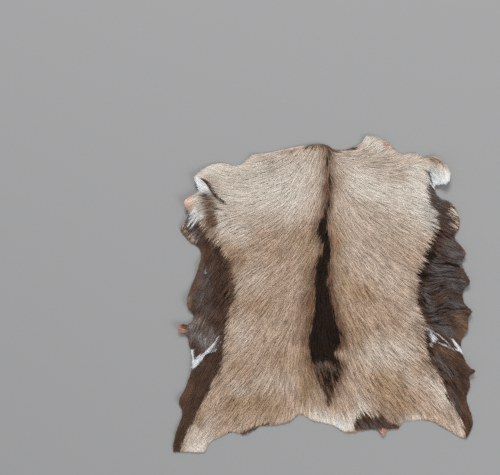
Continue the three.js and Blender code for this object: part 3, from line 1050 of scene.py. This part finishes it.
def markings(x, y):
    """Every marking of the coat at the given places, each from 0 to 1. The haze is a brown that
    stays soft, where streaks take the other dark markings. The sheen and shade marking is
    painted sheen on dark hair and painted shade in creases; a few umber, haze and soot dabs
    paint shade too."""
    stripe, glow = spine_stripe(x, y)
    belly, band = dark_belly(x, y)
    found = {
        "sooty": stripe + dabbed(x, y, SOOT_DABS),
        "umber": belly + dabbed(x, y, UMBER_DABS),
        "pale": dabbed(x, y, PALE_DABS),
        "fawn": dabbed(x, y, FAWN_DABS),
        "rust": dabbed(x, y, RUST_DABS),
        "white": dabbed(x, y, WHITE_DABS),
        "slate": dabbed(x, y, SHEEN_AND_SHADE_DABS),
        "bare": dabbed(x, y, BARE_DABS),
        "hazel": band + dabbed(x, y, HAZEL_DABS),
        "haze": glow + dabbed(x, y, HAZE_DABS),
    }
    return {name: np.clip(amount, 0.0, 1.0) for name, amount in found.items()}


def streaked(amount, streak):
    """A marking as the streaks take it: a hair turns to the marking's colour where the marking
    is stronger than its streak's own threshold, so that a soft edge becomes a streaky one."""
    threshold = LOWEST_THRESHOLD + THRESHOLD_SPAN * streak
    return smooth_step(0.5 + (amount - threshold) / THRESHOLD_EDGE)


def clouds(x, y, size, seed):
    """A smooth unevenness from about -1 to 1: the mean of long waves that cross each other,
    each with its own heading, length and start."""
    waves = np.random.default_rng(seed)
    total = np.zeros_like(x)
    for heading in waves.uniform(0, math.pi, CLOUD_WAVES):
        pitch = size * waves.uniform(*CLOUD_PITCHES)
        start = waves.uniform(0, 2 * math.pi)
        along = x * math.cos(heading) + y * math.sin(heading)
        total += np.sin(2 * math.pi * along / pitch + start)
    return total / math.sqrt(2 * CLOUD_WAVES)


# Meshes


def put_vectors(mesh, name, columns):
    """A named vector of three numbers on each point of a mesh."""
    attribute = mesh.attributes.new(name, "FLOAT_VECTOR", "POINT")
    attribute.data.foreach_set("vector", np.stack(columns, -1).astype(np.float32).ravel())


def put_markings(mesh, found, repeat=1):
    """The coat's markings as three named vectors on a mesh, in the order of their names."""
    columns = [np.repeat(found[name], repeat) for name in MARKING_NAMES]
    for k, vector in enumerate(("marks", "accents", "touches")):
        put_vectors(mesh, vector, columns[3 * k:3 * k + 3])


def new_object(name, mesh, material):
    """An object at the origin that holds the mesh."""
    mesh.materials.append(material)
    made = bpy.data.objects.new(name, mesh)
    bpy.context.scene.collection.objects.link(made)
    return made


def tanned_sheet(name, knots, under, top, shift, material):
    """The leather: the lattice's upper and lower faces and a strip of quads round the rim.
    Its own map lays the hair side in the lower half, the flesh side in the upper half and the
    rim as a strip between them."""
    along, across = under.shape
    flat = (knots[..., :2] + shift).reshape(-1, 2)
    lower = np.column_stack([flat, under.ravel()])
    upper = np.column_stack([flat, top.ravel()])
    count = along * across
    net = np.arange(count).reshape(along, across)
    a, b, c, d = (q.ravel() for q in (net[:-1, :-1], net[1:, :-1], net[1:, 1:], net[:-1, 1:]))
    faces_up = np.stack([a, b, c, d], 1) + count
    faces_down = np.stack([a, d, c, b], 1)
    loop = np.concatenate([net[:-1, 0], net[-1, :-1], net[:0:-1, -1], net[0, :0:-1]])
    after = np.roll(loop, -1)
    rim = np.stack([loop + count, loop, after, after + count], 1)
    mesh = bpy.data.meshes.new(name)
    points = np.vstack([lower, upper])
    mesh.from_pydata(points, [], np.vstack([faces_up, faces_down, rim]))
    column = np.tile(np.arange(across) / (across - 1), along)
    row = np.repeat(np.arange(along) / (along - 1), across)
    map_down = np.column_stack([column, FLESH_SIDE_FOOT + (1 - FLESH_SIDE_FOOT) * row])
    map_up = np.column_stack([column, HAIR_SIDE_TOP * row])
    corner_map = np.vstack([map_down, map_up])[np.vstack([faces_up, faces_down])]
    turn = np.arange(len(loop)) / len(loop)
    turn_on = turn + 1 / len(loop)
    foot, head = (np.full_like(turn, height) for height in RIM_STRIP)
    rim_corners = ((turn, foot), (turn, head), (turn_on, head), (turn_on, foot))
    rim_map = np.stack([np.column_stack(corner) for corner in rim_corners], 1)
    layer = mesh.uv_layers.new(name="OFBake")
    layer.data.foreach_set("uv", np.vstack([corner_map, rim_map]).astype(np.float32).ravel())
    flesh = mesh.attributes.new("flesh", "FLOAT", "POINT")
    flesh.data.foreach_set("value", np.repeat([1.0, 0.0], count).astype(np.float32))
    mesh.shade_smooth()
    return new_object(name, mesh, material)


def blade_mesh(name, blades, shift, material):
    """One mesh of tapered blades, each with its own cell of the map. The points at the bend are
    half a width to either side of the hair's line, and those at the root a little closer."""
    count = len(blades["x"])
    root = np.stack([blades["x"], blades["y"], blades["root_z"]], -1)
    bend = np.stack([blades["bend_x"], blades["bend_y"], blades["bend_z"]], -1)
    tip = np.stack([blades["tip_x"], blades["tip_y"], blades["tip_z"]], -1)
    side = np.stack([blades["side_x"], blades["side_y"], blades["side_z"]], -1)
    wide = side * (blades["width"] / 2)[:, None]
    foot = wide * ROOT_WIDTH
    points = np.stack([root - foot, root + foot, bend - wide, bend + wide, tip], 1)
    points = points + np.array([shift[0], shift[1], 0.0])
    start = np.arange(count)[:, None] * BLADE_POINTS
    corners = (start + BLADE_FACES).ravel()
    mesh = bpy.data.meshes.new(name)
    mesh.vertices.add(count * BLADE_POINTS)
    mesh.vertices.foreach_set("co", points.astype(np.float32).ravel())
    mesh.loops.add(len(corners))
    mesh.loops.foreach_set("vertex_index", corners.astype(np.int32))
    mesh.polygons.add(len(corners) // 3)
    mesh.polygons.foreach_set("loop_start", np.arange(0, len(corners), 3, dtype=np.int32))
    mesh.update(calc_edges=True)
    over = (np.arange(count) % CELLS)[:, None] + CELL_OVER
    up = (np.arange(count) // CELLS)[:, None] + CELL_UP
    point_map = np.stack([over / CELLS, up / CELLS], -1).reshape(-1, 2)
    layer = mesh.uv_layers.new(name="OFBake")
    layer.data.foreach_set("uv", point_map[corners].astype(np.float32).ravel())
    put_markings(mesh, blades, BLADE_POINTS)
    along = np.tile(BLADE_ALONG, count)
    tones = (np.repeat(blades[key], BLADE_POINTS) for key in ("streak_tone", "hair_tone"))
    put_vectors(mesh, "strand", (along, *tones))
    return new_object(name, mesh, material)


# The lie of the coat


def strewn_roots(plan, inset, chance):
    """Hair roots on an even net, each moved at random within its own square and kept where
    there is skin for it. Of those, as many as the coat has are picked at random."""
    xs = np.arange(-PLAN_HALF_WIDTH, PLAN_HALF_WIDTH, BLADE_PITCH)
    ys = np.arange(-PLAN_HALF_LENGTH, PLAN_HALF_LENGTH, BLADE_PITCH)
    x, y = (part.ravel() for part in np.meshgrid(xs, ys))
    x = x + BLADE_PITCH * chance.uniform(-0.5, 0.5, x.size)
    y = y + BLADE_PITCH * chance.uniform(-0.5, 0.5, y.size)
    kept = plan.look_up(inset, x, y) > ROOT_INSET
    x, y = x[kept], y[kept]
    chosen = np.sort(chance.permutation(len(x))[:BLADES_IN_ALL])
    return x[chosen], y[chosen]


def lock_centres(chance):
    """Centres of the locks on an even net, each moved at random within its square."""
    columns = int(2 * PLAN_HALF_WIDTH / LOCK_PITCH) + 2 * LOCK_MARGIN + 1
    rows = int(2 * PLAN_HALF_LENGTH / LOCK_PITCH) + 2 * LOCK_MARGIN + 1
    i, j = np.meshgrid(np.arange(columns), np.arange(rows))
    x = -PLAN_HALF_WIDTH + (i - LOCK_MARGIN + chance.uniform(0, 1, i.shape)) * LOCK_PITCH
    y = -PLAN_HALF_LENGTH + (j - LOCK_MARGIN + chance.uniform(0, 1, i.shape)) * LOCK_PITCH
    return x, y


def own_lock(x, y, east, north, lock_x, lock_y):
    """The lock that each hair belongs to: the nearest centre, where a step along the hair counts
    for less than a step across it, so that locks are long and narrow."""
    column = ((x + PLAN_HALF_WIDTH) / LOCK_PITCH).astype(int) + LOCK_MARGIN
    row = ((y + PLAN_HALF_LENGTH) / LOCK_PITCH).astype(int) + LOCK_MARGIN
    best = np.full(x.shape, FAR_AWAY)
    chosen = np.zeros(x.shape, int)
    for down in range(-LOCK_WINDOW, LOCK_WINDOW + 1):
        for over in range(-LOCK_WINDOW, LOCK_WINDOW + 1):
            j = np.clip(row + down, 0, lock_x.shape[0] - 1)
            i = np.clip(column + over, 0, lock_x.shape[1] - 1)
            away_x = lock_x[j, i] - x
            away_y = lock_y[j, i] - y
            along = (away_x * east + away_y * north) / LOCK_SLENDERNESS
            across = away_y * east - away_x * north
            distance = along * along + across * across
            closer = distance < best
            best = np.where(closer, distance, best)
            chosen = np.where(closer, j * lock_x.shape[1] + i, chosen)
    return chosen


def streaks(plan, fields, x, y, grain, chance):
    """Tone of long streaks that follow the hair, spread evenly from 0 to 1. Every hair takes the
    mean of the random numbers that it would meet on its way along the comb, on and back."""
    columns = int(2 * PLAN_HALF_WIDTH / grain) + 2
    rows = int(2 * PLAN_HALF_LENGTH / grain) + 2
    numbers = chance.uniform(0, 1, (rows, columns))
    total = np.zeros_like(x)
    for way in (-1, 1):
        at_x = x.copy()
        at_y = y.copy()
        for _ in range(int(STREAK_REACH / STREAK_STEP)):
            i = np.clip((at_x + PLAN_HALF_WIDTH) / grain, 0, columns - 1).astype(int)
            j = np.clip((at_y + PLAN_HALF_LENGTH) / grain, 0, rows - 1).astype(int)
            total += numbers[j, i]
            at_x += way * STREAK_STEP * plan.look_up(fields["east"], at_x, at_y)
            at_y += way * STREAK_STEP * plan.look_up(fields["north"], at_x, at_y)
    return evened(total)


def evened(numbers):
    """The numbers' places in their own order, from 0 for the least to 1 for the greatest."""
    place = np.empty(len(numbers))
    place[np.argsort(numbers)] = np.arange(len(numbers))
    return place / len(numbers)


def turned(east, north, angle):
    """Directions turned by an angle each."""
    c = np.cos(angle)
    s = np.sin(angle)
    return east * c - north * s, east * s + north * c


def share_to_crease(x, y, tip_x, tip_y):
    """How much of each hair is left when it ends at the first crease that it meets from the
    crease's left-hand side. Hair from the other side lies over the crease."""
    share = np.ones_like(x)
    for x0, y0, x1, y1 in CREASES:
        cross = (tip_x - x) * (y1 - y0) - (tip_y - y) * (x1 - x0)
        safe = np.where(cross > 0, cross, 1.0)
        reach = ((x0 - x) * (y1 - y0) - (y0 - y) * (x1 - x0)) / safe
        place = ((x0 - x) * (tip_y - y) - (y0 - y) * (tip_x - x)) / safe
        meets = (cross > 0) & (reach > 0) & (reach < 1) & (place >= 0) & (place <= 1)
        share = np.where(meets, np.minimum(share, reach), share)
    return share


def share_to_edge(plan, fields, x, y, tip_x, tip_y, chance):
    """How much of each hair is left when it ends at its own random distance inside or beyond
    the cut edge, found by straight blending of the inset from root to tip."""
    depth_root = plan.look_up(fields["inset"], x, y)
    depth_tip = plan.look_up(fields["inset"], tip_x, tip_y)
    ends_at = chance.uniform(*TIP_INSETS, len(x))
    share = (depth_root - ends_at) / np.maximum(depth_root - depth_tip, 1e-5)
    return np.where(depth_tip < ends_at, np.clip(share, SHORTEST_SHARE, 1.0), 1.0)


def tone_of_streaks(x, y, fine, broad, belly):
    """Tone of each hair's streak: the fine one to a power, which darkens it, with a share of the
    broad one that is greater on the belly. Calm places draw it to the middle tone."""
    broad_share = BROAD_SHARE + BROAD_SHARE_BELLY * belly
    tone = (1 - broad_share) * fine ** FINE_POWER + broad_share * broad
    calm = dabbed(x, y, CALM_DABS)
    return MIDDLE_TONE + (tone - MIDDLE_TONE) * (1 - calm)


def streaky_markings(x, y, depth, fine, broad, chance):
    """The markings that each hair shows. Its streaks' threshold decides on the dark, white and
    rust ones, and the soft haze joins the hazel, where the stronger of the two stays."""
    found = markings(x, y)
    own = chance.uniform(0, 1, len(x))
    threshold = evened(FINE_VOICE * fine + BROAD_VOICE * broad + OWN_VOICE * own)
    for name in STREAKED_NAMES:
        found[name] = streaked(found[name], threshold)
    haze = np.maximum(found.pop("haze"), RIM_HAZE * fade_over(depth, RIM_HAZE_REACH))
    found["hazel"] = np.maximum(found["hazel"], haze)
    return found


def lie_of_hair(plan, fields, chance):
    """Every blade of the coat. A hair leaves its root along the comb, bends half way to the comb
    there, and its tip is drawn towards the middle line of its lock. It rises from the leather
    to a share of the coat's height. A hair that would pass the cut edge is cut short."""
    x, y = strewn_roots(plan, fields["inset"], chance)
    count = len(x)
    east = plan.look_up(fields["east"], x, y)
    north = plan.look_up(fields["north"], x, y)
    lock_x, lock_y = lock_centres(chance)
    lock = own_lock(x, y, east, north, lock_x, lock_y)
    locks = lock_x.size
    lock_turn = chance.normal(0, LOCK_TURN, locks)[lock]
    lock_length = chance.uniform(*LOCK_LENGTHS, locks)[lock]
    fine = streaks(plan, fields, x, y, FINE_GRAIN, chance)
    broad = streaks(plan, fields, x, y, BROAD_GRAIN, chance)
    height = LEAST_HEIGHT + STREAK_HEIGHT * fine + chance.uniform(0, LOCK_HEIGHT, locks)[lock]
    hair_turn = chance.normal(0, HAIR_TURN, count)
    wild = chance.uniform(0, 1, count) < WILD_SHARE
    hair_turn = np.where(wild, WILD_TURN * hair_turn, hair_turn)
    hair_tone = chance.uniform(0, 1, count)

    rough = markings(x, y)
    length = BACK_HAIR + (BELLY_HAIR - BACK_HAIR) * np.maximum(rough["umber"], rough["bare"])
    length = length * lock_length * chance.uniform(*HAIR_LENGTHS, count)
    turn = lock_turn + hair_turn + DRIFT_TURN * clouds(x, y, DRIFT_SIZE, DRIFT_SEED)
    east, north = turned(east, north, turn)
    bend_x = x + east * length / 2
    bend_y = y + north * length / 2
    east_on = plan.look_up(fields["east"], bend_x, bend_y)
    north_on = plan.look_up(fields["north"], bend_x, bend_y)
    east_on, north_on = turned(east_on, north_on, turn)
    tip_x = bend_x + east_on * length / 2
    tip_y = bend_y + north_on * length / 2

    off_x = x - lock_x.ravel()[lock]
    off_y = y - lock_y.ravel()[lock]
    pull = np.where(wild, WILD_GATHER, GATHER) * (off_y * east - off_x * north)
    tip_x = tip_x + pull * north
    tip_y = tip_y - pull * east
    bend_x = bend_x + BEND_GATHER * pull * north
    bend_y = bend_y - BEND_GATHER * pull * east

    share = share_to_edge(plan, fields, x, y, tip_x, tip_y, chance)
    share = np.minimum(share, share_to_crease(x, y, tip_x, tip_y))
    tip_x = x + (tip_x - x) * share
    tip_y = y + (tip_y - y) * share
    bend_x = x + (bend_x - x) * share
    bend_y = y + (bend_y - y) * share

    rise = height * chance.uniform(*RISES, count)
    root_z = plan.look_up(fields["leather"], x, y) - ROOT_SUNK
    bend_coat = plan.look_up(fields["coat"], bend_x, bend_y) * BEND_RISE * rise
    bend_z = plan.look_up(fields["leather"], bend_x, bend_y) + bend_coat
    tip_coat = plan.look_up(fields["coat"], tip_x, tip_y) * rise
    tip_z = plan.look_up(fields["leather"], tip_x, tip_y) + tip_coat
    beyond = np.clip(-plan.look_up(fields["inset"], tip_x, tip_y), 0, 1)
    tip_z = np.maximum(tip_z - HANG * beyond, FLOOR_GAP)
    bend_z = np.maximum(bend_z, FLOOR_GAP)

    roll = chance.normal(0, HAIR_ROLL, count)
    width = HAIR_WIDTH * chance.uniform(*HAIR_WIDTHS, count)
    blades = {
        "x": x,
        "y": y,
        "root_z": root_z,
        "bend_x": bend_x,
        "bend_y": bend_y,
        "bend_z": bend_z,
        "tip_x": tip_x,
        "tip_y": tip_y,
        "tip_z": tip_z,
        "side_x": -north * np.cos(roll),
        "side_y": east * np.cos(roll),
        "side_z": np.sin(roll),
        "width": width,
        "streak_tone": tone_of_streaks(x, y, fine, broad, rough["umber"]),
        "hair_tone": hair_tone,
    }
    depth = plan.look_up(fields["inset"], x, y)
    inwards = smooth_step(depth / SHOW_REACH)
    show_at = SHOW_AT * (SHOW_AT_RIM + (1 - SHOW_AT_RIM) * inwards)
    show_x = x + show_at * (tip_x - x)
    show_y = y + show_at * (tip_y - y)
    blades.update(streaky_markings(show_x, show_y, depth, fine, broad, chance))
    hairy_root = plan.look_up(fields["hairy"], x, y)
    hairy_tip = plan.look_up(fields["hairy"], tip_x, tip_y)
    grown = np.minimum(hairy_root, hairy_tip) > chance.uniform(0, 1, count)
    return {key: part[grown] for key, part in blades.items()}


# Finishes


def linear(red, green, blue):
    """A colour as read off a screen, turned into the linear one that the shader takes."""
    screen = np.array([red, green, blue]) / 255.0
    straight = np.where(screen <= 0.04045, screen / 12.92, ((screen + 0.055) / 1.055) ** 2.4)
    return (*[float(part) for part in straight], 1.0)


class Finish:
    """A new material, and short ways to add nodes to it."""

    def __init__(self, name):
        self.material = bpy.data.materials.new(name)
        self.material.use_nodes = True
        self.tree = self.material.node_tree
        self.shader = self.tree.nodes["Principled BSDF"]

    def add(self, kind, **settings):
        """A new node with its settings."""
        made = self.tree.nodes.new(kind)
        for name, value in settings.items():
            setattr(made, name, value)
        return made

    def feed(self, socket, value):
        """A link into the socket, or a plain value on it."""
        if isinstance(value, bpy.types.NodeSocket):
            self.tree.links.new(value, socket)
        else:
            socket.default_value = value

    def parts(self, name):
        """The three numbers of a named vector on the mesh."""
        source = self.add("ShaderNodeAttribute", attribute_name=name)
        split = self.add("ShaderNodeSeparateXYZ")
        self.tree.links.new(source.outputs["Vector"], split.inputs[0])
        return split.outputs[0], split.outputs[1], split.outputs[2]

    def number(self, name):
        """One named number on the mesh."""
        return self.add("ShaderNodeAttribute", attribute_name=name).outputs["Fac"]

    def mix(self, share, first, second, blend="MIX"):
        """From the first colour to the second by the share."""
        made = self.add("ShaderNodeMix", data_type="RGBA", blend_type=blend)
        self.feed(made.inputs[0], share)
        self.feed(made.inputs[6], first)
        self.feed(made.inputs[7], second)
        return made.outputs[2]

    def work(self, operation, *numbers):
        """A sum on two or three numbers, kept between 0 and 1."""
        made = self.add("ShaderNodeMath", operation=operation, use_clamp=True)
        for socket, number in zip(made.inputs, numbers):
            self.feed(socket, number)
        return made.outputs[0]

    def noise(self, scale, detail=3.0, roughness=0.55):
        """Cloudy noise on the object's own coordinates."""
        place = self.add("ShaderNodeTexCoord").outputs["Object"]
        made = self.add("ShaderNodeTexNoise")
        self.feed(made.inputs["Vector"], place)
        self.feed(made.inputs["Scale"], scale)
        self.feed(made.inputs["Detail"], detail)
        self.feed(made.inputs["Roughness"], roughness)
        return made.outputs["Fac"]


def coat_colour(finish, tone):
    """Colour of the coat from its markings: each marking has a shade and a light, and the tone
    picks between them. A later marking lies over the earlier ones."""
    sooty, umber, pale = finish.parts("marks")
    fawn, rust, white = finish.parts("accents")
    slate, bare, hazel = finish.parts("touches")
    # Painted sheen and shade: a grey laid over the coat, more of it on light hair
    share = finish.work("MULTIPLY_ADD", tone, SHEEN_AND_SHADE_ON_LIGHT, SHEEN_AND_SHADE_ON_DARK)
    sheen_and_shade_shown = finish.work("MULTIPLY", slate, share)
    layers = [
        (fawn, FAWN),
        (pale, CREAM),
        (umber, UMBER),
        (hazel, HAZEL),
        (sheen_and_shade_shown, SHEEN_AND_SHADE),
        (sooty, SOOT),
        (rust, RUST),
        (white, WHITE),
    ]
    colour = finish.mix(tone, linear(*TAN[0]), linear(*TAN[1]))
    for amount, (shade, light) in layers:
        colour = finish.mix(amount, colour, finish.mix(tone, linear(*shade), linear(*light)))
    return colour, bare


def goat_hair():
    """Lying goat hair: the tone is mostly the streak's, then the hair's own and a mottle, and a
    hair is darker at its root than at its tip."""
    finish = Finish("goat_hair_coat")
    along, streak_tone, hair_tone = finish.parts("strand")
    mottle = finish.noise(MOTTLE_SCALE)
    tone = finish.work("MULTIPLY", streak_tone, STREAK_PART)
    tone = finish.work("ADD", tone, finish.work("MULTIPLY", hair_tone, HAIR_PART))
    tone = finish.work("ADD", tone, finish.work("MULTIPLY", mottle, MOTTLE_PART))
    colour, _ = coat_colour(finish, tone)
    light = finish.work("MULTIPLY_ADD", along, TIP_LIGHT, ROOT_LIGHT)
    finish.feed(finish.shader.inputs["Base Color"], finish.mix(1.0, colour, light, "MULTIPLY"))
    finish.shader.inputs["Roughness"].default_value = 0.55
    finish.shader.inputs["Specular IOR Level"].default_value = 0.10
    return finish.material


def tanned_leather():
    """The skin itself: undercoat colour on the hair side, pink where it is bare, and pale
    brushed suede on the flesh side."""
    finish = Finish("tanned_leather")
    grain = finish.noise(GRAIN_SCALE, 4.0)
    cloud = finish.noise(CLOUD_SCALE)
    # The hair side takes the coat's markings, painted sheen and shade among them
    colour, bare = coat_colour(finish, finish.work("MULTIPLY", cloud, UNDERCOAT_TONE))
    colour = finish.mix(bare, colour, linear(*SKIN_PINK))
    suede = finish.mix(cloud, linear(*SUEDE), linear(*SUEDE_LIGHT))
    suede = finish.mix(finish.work("MULTIPLY", grain, GRAIN_PART), suede, linear(*SUEDE_GRAIN))
    flesh = finish.number("flesh")
    finish.feed(finish.shader.inputs["Base Color"], finish.mix(flesh, colour, suede))
    finish.shader.inputs["Roughness"].default_value = 0.85
    bump = finish.add("ShaderNodeBump")
    bump.inputs["Strength"].default_value = 0.35
    bump.inputs["Distance"].default_value = GRAIN_DEPTH
    finish.feed(bump.inputs["Height"], grain)
    finish.feed(finish.shader.inputs["Normal"], bump.outputs["Normal"])
    return finish.material


def pale_floor():
    """Plain matt pale grey."""
    finish = Finish("pale_floor")
    finish.shader.inputs["Base Color"].default_value = linear(*FLOOR_GREY)
    finish.shader.inputs["Roughness"].default_value = 0.9
    return finish.material


# Stage


def area_light(name, place, size, power):
    """A square soft light that faces the middle of the skin."""
    lamp = bpy.data.lights.new(name, "AREA")
    lamp.shape = "SQUARE"
    lamp.size = size
    lamp.energy = power
    holder = bpy.data.objects.new(name, lamp)
    holder.location = place
    yaw = math.atan2(place[0], -place[1])
    tilt = math.atan2(math.hypot(place[0], place[1]), place[2])
    holder.rotation_euler = (tilt, 0.0, yaw)
    bpy.context.scene.collection.objects.link(holder)


def overhead_camera():
    """A camera that looks straight down, as high as its lens needs to take in the view."""
    camera = bpy.data.cameras.new("camera")
    camera.lens = LENS
    camera.sensor_width = SENSOR
    holder = bpy.data.objects.new("camera", camera)
    holder.location = (*VIEW_MIDDLE, VIEW_WIDTH * LENS / SENSOR)
    bpy.context.scene.collection.objects.link(holder)
    bpy.context.scene.camera = holder


def set_stage():
    """Floor, soft lights and the camera straight above."""
    mesh = bpy.data.meshes.new("floor")
    corners = [(-1, -1), (1, -1), (1, 1), (-1, 1)]
    corners = [(FLOOR_HALF * x, FLOOR_HALF * y, 0) for x, y in corners]
    mesh.from_pydata(corners, [], [(0, 1, 2, 3)])
    floor = new_object("floor", mesh, pale_floor())
    for lamp in LAMPS:
        area_light(*lamp)
    world = bpy.data.worlds.new("studio")
    bpy.context.scene.world = world
    world.use_nodes = True
    air = world.node_tree.nodes["Background"]
    air.inputs["Color"].default_value = AIR_COLOUR
    air.inputs["Strength"].default_value = AIR_STRENGTH
    bpy.context.scene.view_settings.view_transform = "Standard"
    bpy.context.scene.cycles.use_denoising = False
    overhead_camera()


# Making


def laid_fields(plan, knots, under, edge):
    """All that the hair asks of the plan: how far inside the cut edge a place is, below nothing
    outside it, the leather's top, the coat's height on it, the comb and where hair grows."""
    _, ends = edge_distances(knots)
    back = smooth_step(np.minimum(ends[2], ends[3]) / BELLY_BAND)
    net = [refined(knots[..., k], LATTICE_CUTS) for k in (0, 1)]
    ground, covered = plan.gather(*net, refined(under, LATTICE_CUTS))
    backness, _ = plan.gather(*net, refined(back, LATTICE_CUTS))
    covered = ~widened(~widened(covered, CLOSING_RINGS), CLOSING_RINGS)

    parts = np.arange(0, 1, 1 / EDGE_CUTS)
    near = nearest_edge(plan, np.vstack([edge[:-1] + (edge[1:] - edge[:-1]) * t for t in parts]))
    rim_distance = np.hypot(plan.x - near[..., 0], plan.y - near[..., 1])
    inset = np.where(covered, rim_distance, -rim_distance)
    for depth, size, seed in (LONG_NICKS, SHORT_NICKS):
        inset = inset + depth * clouds(plan.x, plan.y, size, seed)

    coat = BELLY_COAT + (BACK_COAT - BELLY_COAT) * backness
    coat = coat + SPINE_CREST * fade_over(np.abs(plan.x), SPINE_CREST_WIDTH)
    inward = 1 - fade_over(np.clip(inset, 0, 1), RIM_TAPER)
    east, north = combed(plan)
    return {
        "inset": inset,
        "leather": ground + LEATHER,
        "coat": RIM_COAT + (coat - RIM_COAT) * inward,
        "east": east,
        "north": north,
        "hairy": 1 - markings(plan.x, plan.y)["bare"],
    }


def build():
    """The dressed skin, from the lattice to the last hair."""
    chance = np.random.default_rng(COAT_SEED)
    runs = (edge_run(rows) for rows in (NECK_EDGE, RUMP_EDGE, LEFT_FLANK, RIGHT_FLANK))
    neck, rump, left, right = (run * (DRAWN_IN, DRAWN_IN, 1.0) for run in runs)
    knots = skin_lattice(neck, rump, left, right)
    edge = np.vstack([neck, right, rump[::-1], left[::-1]])
    middle = (edge.min(0) + edge.max(0))[:2] / 2
    box_middle = np.array([(skin_low[k] + skin_high[k]) / 2 for k in (0, 1)])
    shift = box_middle - middle
    under = edge_lift(knots) + fold_height(knots[..., 0], knots[..., 1])
    under = under - under.min()

    leather = tanned_leather()
    hair = goat_hair()
    hide = tanned_sheet("hide", knots, under, under + LEATHER, shift, leather)
    found = markings(knots[..., 0], knots[..., 1])
    put_markings(hide.data, {name: np.tile(amount.ravel(), 2) for name, amount in found.items()})

    plan = Plan()
    blades = lie_of_hair(plan, laid_fields(plan, knots, under, edge), chance)
    across = np.argsort(blades["x"], kind="stable")
    coats = []
    for name, chosen in zip(COAT_NAMES, np.array_split(across, len(COAT_NAMES))):
        own = {key: part[chosen] for key, part in blades.items()}
        coats.append(blade_mesh(name, own, shift, hair))
    for piece in coats:
        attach(piece, "root")
    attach(hide, "root")
    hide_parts("goatskin")


set_stage()
build()
